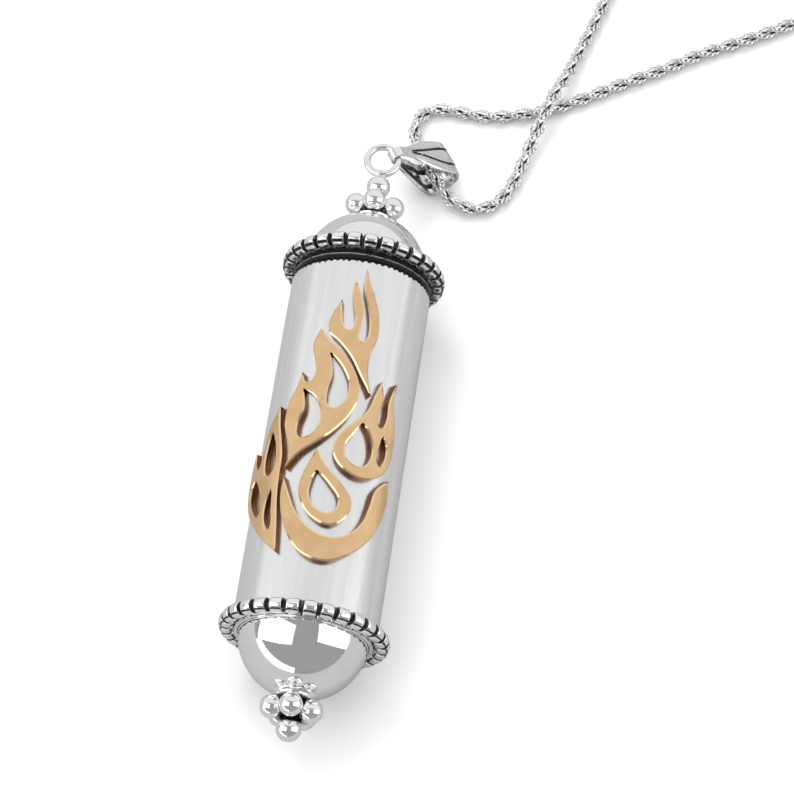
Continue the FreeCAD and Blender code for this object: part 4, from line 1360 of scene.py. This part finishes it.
        flat = [vertex.co.copy() for vertex in outer.data.vertices]
        BENCH.shape(outer, surface)
        for face in outer.data.polygons:
            middle = sum((flat[i] for i in face.vertices), Vector()) / len(face.vertices)
            along = self.loop_point((middle.x + 0.5) % 1.0)[2]
            line = abs(abs(middle.y * 2) - self.groove_at(along)) * self.half_width(along)
            inside = self.groove_start + 0.1 < along < self.reach + self.groove_past - 0.1
            face.material_index = int(inside and line < self.groove_width * 0.8)
        with editing(outer):
            bpy.ops.mesh.remove_doubles(threshold=self.weld)
            bpy.ops.mesh.normals_make_consistent(inside=False)
        # the inner faces get the bail's inside finish, which is painted shade
        BENCH.modified(outer, "SOLIDIFY", thickness=self.band - self.crown, offset=-1.0,
                       use_even_offset=True, material_offset=2, material_offset_rim=0)
        drop = math.asin((self.case.axis_z - self.end_r - self.clearance) / self.reach)
        place = (Matrix.Translation(centre) @ Matrix.Rotation(math.radians(self.azimuth), 4, "Z")
                 @ Matrix.Translation((ring_r, 0, 0)) @ Matrix.Rotation(drop, 4, "Y"))
        BENCH.deliver(outer, place, "bail", ["bail"], "polished_silver",
                      [self.finishes.bail, self.finishes.black, self.finishes.bail_inside_shade,
                       self.finishes.bail_inside_shade], 45)

    def groove_at(self, along: float) -> float:
        """Where a groove is across the band, from 0 in the middle to 1 at its edge."""
        spread = held((along - self.spread_start) / (self.reach * self.spread_run))
        return self.groove_inner + self.groove_spread * spread


# ---- chain -------------------------------------------------------------------------------------
class Strand(Enum):
    """The chain's two strands from the bail."""

    NEAR = "near"
    FAR = "far"


@dataclass
class Route:
    """Where the chain lies, in millimetres, y from the middle of the tube."""

    rest: float = 0.77          # height of the chain's middle on the table
    coil_centre: Point = (38.0, 77.0)
    turn_points: int = 16
    bulge: float = 0.98         # of the control points out from the line that they make

    def near(self) -> list[Vector]:
        """From inside the bail to the end cap beside the clasp."""
        floor = self.rest
        return [Vector(p) for p in (
            (4.75, 36.15, 1.42), (6.15, 33.95, 1.42), (8.4, 32.5, 0.95), (11.2, 32.9, floor),
            (13.1, 35.3, floor), (14.0, 38.4, 0.85), (14.75, 41.3, 1.35), (15.6, 44.2, 2.4),
            (16.5, 47.2, 2.4), (17.55, 50.2, 1.35), (18.65, 54.0, floor), (20.1, 58.6, floor),
            (21.2, 63.4, floor), (21.9, 67.8, 0.85), (21.5, 71.6, 1.02), (20.4, 74.6, 1.02))]

    def far(self) -> list[Vector]:
        """From inside the bail under the near strand, to the coil and out of it to the clasp."""
        floor = self.rest
        out = [Vector(p) for p in (
            (4.75, 36.15, 1.42), (3.55, 38.1, 1.42), (2.7, 39.8, 1.1), (2.15, 41.4, floor),
            (2.5, 43.2, floor), (4.0, 44.3, floor), (6.3, 44.3, floor), (9.6, 44.0, floor),
            (12.8, 44.7, floor), (16.0, 45.8, floor), (19.4, 47.6, floor), (23.3, 50.1, floor),
            (27.4, 52.4, floor), (31.4, 55.1, floor), (35.5, 57.2, floor), (39.8, 59.6, floor),
            (43.8, 62.3, floor), (46.8, 66.1, floor), (48.3, 70.8, 0.85))]
        tail = [Vector(p) for p in ((34.0, 88.0, 1.8), (30.2, 88.0, 1.02), (27.0, 87.4, 1.02))]
        return out + self.coil() + tail

    def coil(self) -> list[Vector]:
        """Five and a quarter turns in three lanes, the last two turns on top of the others."""
        lanes, low, high = (10.5, 9.0, 7.5, 9.0, 10.5), 0.95, 2.45
        changes, climb, ease = (1.0, 2.0, 3.25, 4.25), (2.5, 2.75), 0.16
        points = []
        for i in range(int(5.25 * self.turn_points) + 1):
            turn = i / self.turn_points
            radius = lanes[0]
            for change, before, after in zip(changes, lanes, lanes[1:]):
                start = change - ease if after < before else change
                radius += (after - before) * smooth_share(turn, start, start + ease)
            height = low + (high - low) * smooth_share(turn, *climb)
            radius /= math.cos(math.pi / self.turn_points) ** self.bulge
            angle = 2 * math.pi * turn
            points.append(Vector((self.coil_centre[0] + radius * math.cos(angle),
                                  self.coil_centre[1] + radius * math.sin(angle), height)))
        return points


def smooth_share(value: float, low: float, high: float) -> float:
    """0 below low, 1 above high, and a smooth step between."""
    t = held((value - low) / (high - low))
    return t * t * (3 - 2 * t)


def smooth_line(points: Sequence[Vector], name: str) -> list[Vector]:
    """The NURBS line that a route's points control.

    Args:
        points: the control points.
        name: a name for the curve while it exists.
    Returns:
        Points along the line, close together.
    """
    curve = bpy.data.curves.new(name, "CURVE")
    curve.dimensions = "3D"
    spline = curve.splines.new("NURBS")
    spline.points.add(len(points) - 1)
    for spot, point in zip(spline.points, points):
        spot.co = (*point, 1.0)
    spline.order_u = 3
    spline.use_endpoint_u = True
    spline.resolution_u = 12
    holder = bpy.data.objects.new(name, curve)
    bpy.context.collection.objects.link(holder)
    mesh = bpy.data.meshes.new_from_object(holder)
    line = [vertex.co.copy() for vertex in mesh.vertices]
    bpy.data.objects.remove(holder)
    bpy.data.curves.remove(curve)
    bpy.data.meshes.remove(mesh)
    return line


@dataclass
class Walk:
    """Steps of equal length along a line."""

    line: list[Vector]

    @property
    def length(self) -> float:
        """The line's length."""
        return sum((b - a).length for a, b in zip(self.line, self.line[1:]))

    def steps(self, spacing: float, start: float = 0.0) -> Iterator[tuple[float, Vector, Vector]]:
        """Walk along the line.

        Args:
            spacing: distance between steps.
            start: distance of the first step from the line's start.
        Yields:
            The distance, the point and the way ahead there.
        """
        walked, want = 0.0, start
        for here, there in zip(self.line, self.line[1:]):
            chord = there - here
            while chord.length > 0 and want <= walked + chord.length:
                yield want, here + chord * ((want - walked) / chord.length), chord.normalized()
                want += spacing
            walked += chord.length


def facing(at: Vector, way: Vector) -> Matrix:
    """A place whose Y runs along the way and whose Z is as far up as it can be."""
    side = way.cross(Vector((0, 0, 1))).normalized()
    up = side.cross(way).normalized()
    return Matrix.Translation(at) @ Matrix((side, way, up)).transposed().to_4x4()


@dataclass
class RopeChain:
    """Rope chain: two strands of leaning wire links, wound round each other."""

    diameter: float = 1.5
    wire_r: float = 0.165
    strand_r: float = 0.36      # from the rope's middle to a strand's
    link_half: float = 0.62     # half a link's length
    spacing: float = 0.46
    lean: float = 26.0          # of a link out of its strand
    cross: float = 30.0         # of a link across its strand
    lay_length: float = 4.4     # along the rope for one turn of its strands
    lead: float = 0.8           # share of half a link before the first link's middle

    def link(self) -> bpy.types.Object:
        """One link: an oval wire ring, leaning in its strand."""
        across = self.diameter / 2 - self.strand_r - self.wire_r
        link = BENCH.start("link", bpy.ops.mesh.primitive_torus_add, major_radius=across,
                           minor_radius=self.wire_r, major_segments=10, minor_segments=6)
        with editing(link):
            bpy.ops.transform.resize(value=(1, (self.link_half - self.wire_r) / across, 1))
            for angle, axis in ((self.lean, "X"), (self.cross, "Z")):
                bpy.ops.transform.rotate(value=math.radians(angle), orient_axis=axis,
                                         center_override=(0, 0, 0))
            bpy.ops.transform.translate(value=(0, 0, self.strand_r))
        widest = max(math.hypot(v.co.x, v.co.z) for v in link.data.vertices)
        link.data.transform(Matrix.Diagonal((self.diameter / 2 / widest, 1,
                                             self.diameter / 2 / widest, 1)))
        return link

    def made(self, name: str, line: list[Vector]) -> bpy.types.Object:
        """Hang links along a line.

        Args:
            name: the rope's name.
            line: the line, in millimetres.
        Returns:
            The rope, in one mesh.
        """
        link = self.link()
        copies = []
        for run, at, way in Walk(line).steps(self.spacing, self.link_half * self.lead):
            turn = Matrix.Rotation(2 * math.pi * run / self.lay_length, 4, "Y")
            for strand in (0, math.pi):
                copies.append(BENCH.copy(link, facing(at, way) @ turn
                                         @ Matrix.Rotation(strand, 4, "Y")))
        depths = [math.hypot(v.co.x, v.co.z) / (self.diameter / 2) for v in link.data.vertices]
        count = len(copies)
        rope = BENCH.join(copies, name)
        layer = rope.data.attributes.new("depth", "FLOAT", "POINT")
        layer.data.foreach_set("value", depths * count)
        bpy.data.objects.remove(link)
        LOG.info("%s: %d links over %.1f mm", name, count, Walk(line).length)
        return rope


@dataclass
class Chain:
    """The whole chain: two strands, their ends, the clasp and the coil's tie."""

    case: CaseLayout
    finishes: Finishes
    eye_r: float = 0.65         # of an end cap's eye
    eye_wire_r: float = 0.22
    eye_rise: float = 0.72      # of the eye's middle above the cap's closed end

    def build(self) -> None:
        """Make the chain's pieces."""
        route, lift = Route(), Matrix.Translation((0, self.case.middle_y, 0))
        rope = RopeChain()
        for strand, points in ((Strand.NEAR, route.near()), (Strand.FAR, route.far())):
            line = smooth_line(points, f"{strand.value}_line")
            piece = rope.made(f"{strand.value}_rope", line)
            ends = self.ends(strand, line)
            nodes = ["chain_near"] if strand is Strand.NEAR else ["chain_far", "chain_tail",
                                                                   "chain_coil"]
            BENCH.deliver(piece, lift, "bail", nodes, "polished_silver", [self.finishes.chain], 60)
            path = [(lift @ point) * MM for point in line]
            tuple(path[0])
            round(Walk(path).length, 4)

    def ends(self, strand: Strand, line: list[Vector]) -> list[bpy.types.Object]:
        """The pieces on a strand's far end.

        Args:
            strand: which strand.
            line: the line that the strand follows.
        Returns:
            The pieces.
        """
        at, way = line[-1], (line[-1] - line[-2]).normalized()
        cap = self.end_cap(f"{strand.value}_end_cap", at, way)
        pieces = [cap, self.link(strand)]
        if strand is Strand.FAR:
            names = {"clasp_body": "clasp_hook", "clasp_pin": "clasp_rivet",
                     "coil_tie": "coil_band"}
            for node, name in names.items():
                piece = BENCH.polished_copy(node, name, 0.05)
                finish, slot = ((self.finishes.tie, "tie") if node == "coil_tie"
                                else (self.finishes.mirror, "polished_silver"))
                pieces.append(BENCH.deliver(piece, Matrix(), "bail", [node], slot, [finish], 35))
            lever = BENCH.polished_copy("clasp_lever", "clasp_thumb_lever", 0.08)
            pieces.append(BENCH.deliver(lever, Matrix(), "clasp_lever", ["clasp_lever"],
                                        "polished_silver", [self.finishes.mirror], 35))
        return pieces

    def end_cap(self, name: str, at: Vector, way: Vector) -> bpy.types.Object:
        """A turned cup with two ribs, its closed end drawn out into an eye."""
        socket, length, radius, bore = 1.5, 2.6, 1.0, 0.77
        low, high = -socket, length - socket
        cup = BENCH.turned(name, [
            (bore, low), (radius - 0.04, low), (radius, low + 0.05), (radius, low + 0.3),
            (radius - 0.1, low + 0.36), (radius - 0.1, high - 0.75), (radius, high - 0.69),
            (radius, high - 0.3), (radius - 0.3, high), (0, high), (0, high - 0.4),
            (bore, high - 0.4), (bore, low)], 48)
        eye = BENCH.start("eye", bpy.ops.mesh.primitive_torus_add, major_radius=self.eye_r,
                          minor_radius=self.eye_wire_r, major_segments=32, minor_segments=12)
        with editing(eye):
            bpy.ops.transform.rotate(value=math.pi / 2, orient_axis="Y", center_override=(0, 0, 0))
            bpy.ops.transform.translate(value=(0, high + self.eye_rise, 0))
        cap = BENCH.join([cup, eye], name)
        lift = Matrix.Translation((0, self.case.middle_y, 0))
        return BENCH.deliver(cap, lift @ facing(at, way), "bail", ["chain_end_caps"],
                             "polished_silver", [self.finishes.mirror])

    def link(self, strand: Strand) -> bpy.types.Object:
        """The wire link of a strand's end, with the cut where its ends meet."""
        whole = BENCH.polished_copy("end_links", f"{strand.value}_link", 0.01)
        low, high = box_mm("end_links")
        middle = (low.x + high.x) / 2

        def other(face: bpy.types.MeshPolygon) -> bool:
            """Whether a face belongs to the other strand's link."""
            return (face.center.x < middle) == (strand is Strand.FAR)

        BENCH.pick_faces(whole, other)
        with editing(whole, everything=False):
            bpy.ops.mesh.delete(type="FACE")
        return BENCH.deliver(whole, Matrix(), "bail", ["end_links"], "polished_silver",
                             [self.finishes.mirror], 60)


# ---- stage -------------------------------------------------------------------------------------
@dataclass(frozen=True)
class Softbox:
    """A soft light aimed at the case."""

    name: str
    azimuth: float              # degrees from +X towards +Y
    elevation: float
    size: tuple[float, float]   # metres across and up
    brightness: float           # how bright its face is
    spin: float = 0.0           # degrees about its own aim
    mirrored: bool = True       # whether polished metal shows it
    distance: float = 0.6       # metres

    def hang(self, target: Vector) -> None:
        """Hang the light."""
        lamp = bpy.data.lights.new(self.name, "AREA")
        lamp.shape, lamp.size, lamp.size_y = "RECTANGLE", *self.size
        lamp.energy = self.brightness * math.pi * self.size[0] * self.size[1]
        light = bpy.data.objects.new(self.name, lamp)
        light.visible_glossy = self.mirrored
        bpy.context.collection.objects.link(light)
        out = outwards(self.azimuth, self.elevation)
        light.location = target + out * self.distance
        turn = (-out).to_track_quat("-Z", "Y").to_matrix().to_4x4()
        light.rotation_euler = (turn @ Matrix.Rotation(math.radians(self.spin), 4, "Z")).to_euler()


@dataclass
class Studio:
    """A white table, soft boxes and pale surroundings."""

    floor_size: float = 3.0
    floor_drop: float = 0.0001      # of the table below what lies on it
    aim: float = 0.008              # height at which the lights are aimed
    turn: tuple[float, float] = (0.05, 0.35)    # Y of a direction, from front to back tone
    floor_tone: float = 0.94
    mirrored_tone: float = 0.44     # of the table where polished metal reflects it
    back: float = 0.84              # the surroundings behind the top end
    front: float = 0.35             # and those that face the bottom end
    boxes: tuple[Softbox, ...] = (
        Softbox("left_panel", -161.7, 40.6, (0.42, 0.80), 1.25, -34.0),
        Softbox("right_panel", -7.6, 29.8, (0.36, 0.72), 1.25, 18.0),
        Softbox("low_strip", -130.0, 5.0, (0.84, 0.13), 1.4),
        Softbox("key", 128.0, 58.0, (0.24, 0.24), 4.2, 0.0, False),
        Softbox("overhead", 90.0, 88.0, (1.4, 1.4), 0.9, 0.0, False, 0.9),
    )

    def build(self) -> None:
        """Lay the table and hang the lights."""
        floor = BENCH.start("table", bpy.ops.mesh.primitive_grid_add, x_subdivisions=8,
                            y_subdivisions=8, size=self.floor_size)
        with editing(floor):
            bpy.ops.transform.translate(value=(0, 0, -self.floor_drop))
        shader = Shader("table_white")
        ray = Signal(shader, shader.node("ShaderNodeLightPath").outputs["Is Glossy Ray"])
        floor.data.materials.append(shader.finish(
            Base_Color=shader.blend(ray, grey(self.floor_tone), grey(self.mirrored_tone)),
            Roughness=0.9, Specular_IOR_Level=0.1))
        self.surround()
        for box in self.boxes:
            box.hang(Vector((0, 0, self.aim)))
        bpy.context.scene.view_settings.view_transform = "Standard"

    def surround(self) -> None:
        """Pale surroundings, darker in front and overhead."""
        world = bpy.data.worlds.new("surroundings")
        bpy.context.scene.world = world
        world.use_nodes = True
        graph = Graph(world.node_tree)
        way = Signal(graph, graph.node("ShaderNodeTexCoord").outputs["Generated"])
        ramp = graph.node(
            "ShaderNodeMapRange", {"interpolation_type": "SMOOTHSTEP"},
            {"Value": graph.axes(way)[1], "From Min": self.turn[0], "From Max": self.turn[1],
             "To Min": self.front, "To Max": self.back})
        graph.feed(graph.tree.nodes["Background"].inputs["Color"],
                   Signal(graph, ramp.outputs["Result"]))


@dataclass(frozen=True)
class Viewpoint:
    """The camera, by what it looks at."""

    target: tuple[float, float, float]      # millimetres
    azimuth: float = -81.9214               # of the camera from the target, degrees from +X
    elevation: float = 64.763
    distance: float = 282.70
    lens: float = 129.52

    def build(self) -> None:
        """Place the camera."""
        data = bpy.data.cameras.new("camera")
        data.lens, data.sensor_width, data.clip_start = self.lens, 36.0, 0.01
        camera = bpy.data.objects.new("camera", data)
        bpy.context.collection.objects.link(camera)
        out = outwards(self.azimuth, self.elevation)
        camera.location = (Vector(self.target) + out * self.distance) * MM
        camera.rotation_euler = (-out).to_track_quat("-Z", "Y").to_euler()
        bpy.context.scene.camera = camera


def main() -> None:
    """Build the case, its chain and the stage."""
    logging.basicConfig(level=logging.INFO, format="%(name)s: %(message)s")
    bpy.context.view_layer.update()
    case = CaseLayout.from_frame()
    finishes = Finishes(case)
    Viewpoint((5.236, case.middle_y + 6.537, case.axis_z)).build()
    Chain(case, finishes).build()
    Tube(case, finishes).build()
    top = End(case, finishes, "top", "cap")
    bottom = End(case, finishes, "bottom", "case")
    for end, node, name in ((top, "stem_ball", "stem_ball_bright"),
                            (bottom, "tip_ball", "tip_ball_bright")):
        end.build()
        end.end_ball(node, name)
    Flame(case, finishes).build()
    Hanger(case, finishes).build()
    Studio().build()


if __name__ == "__main__":
    main()
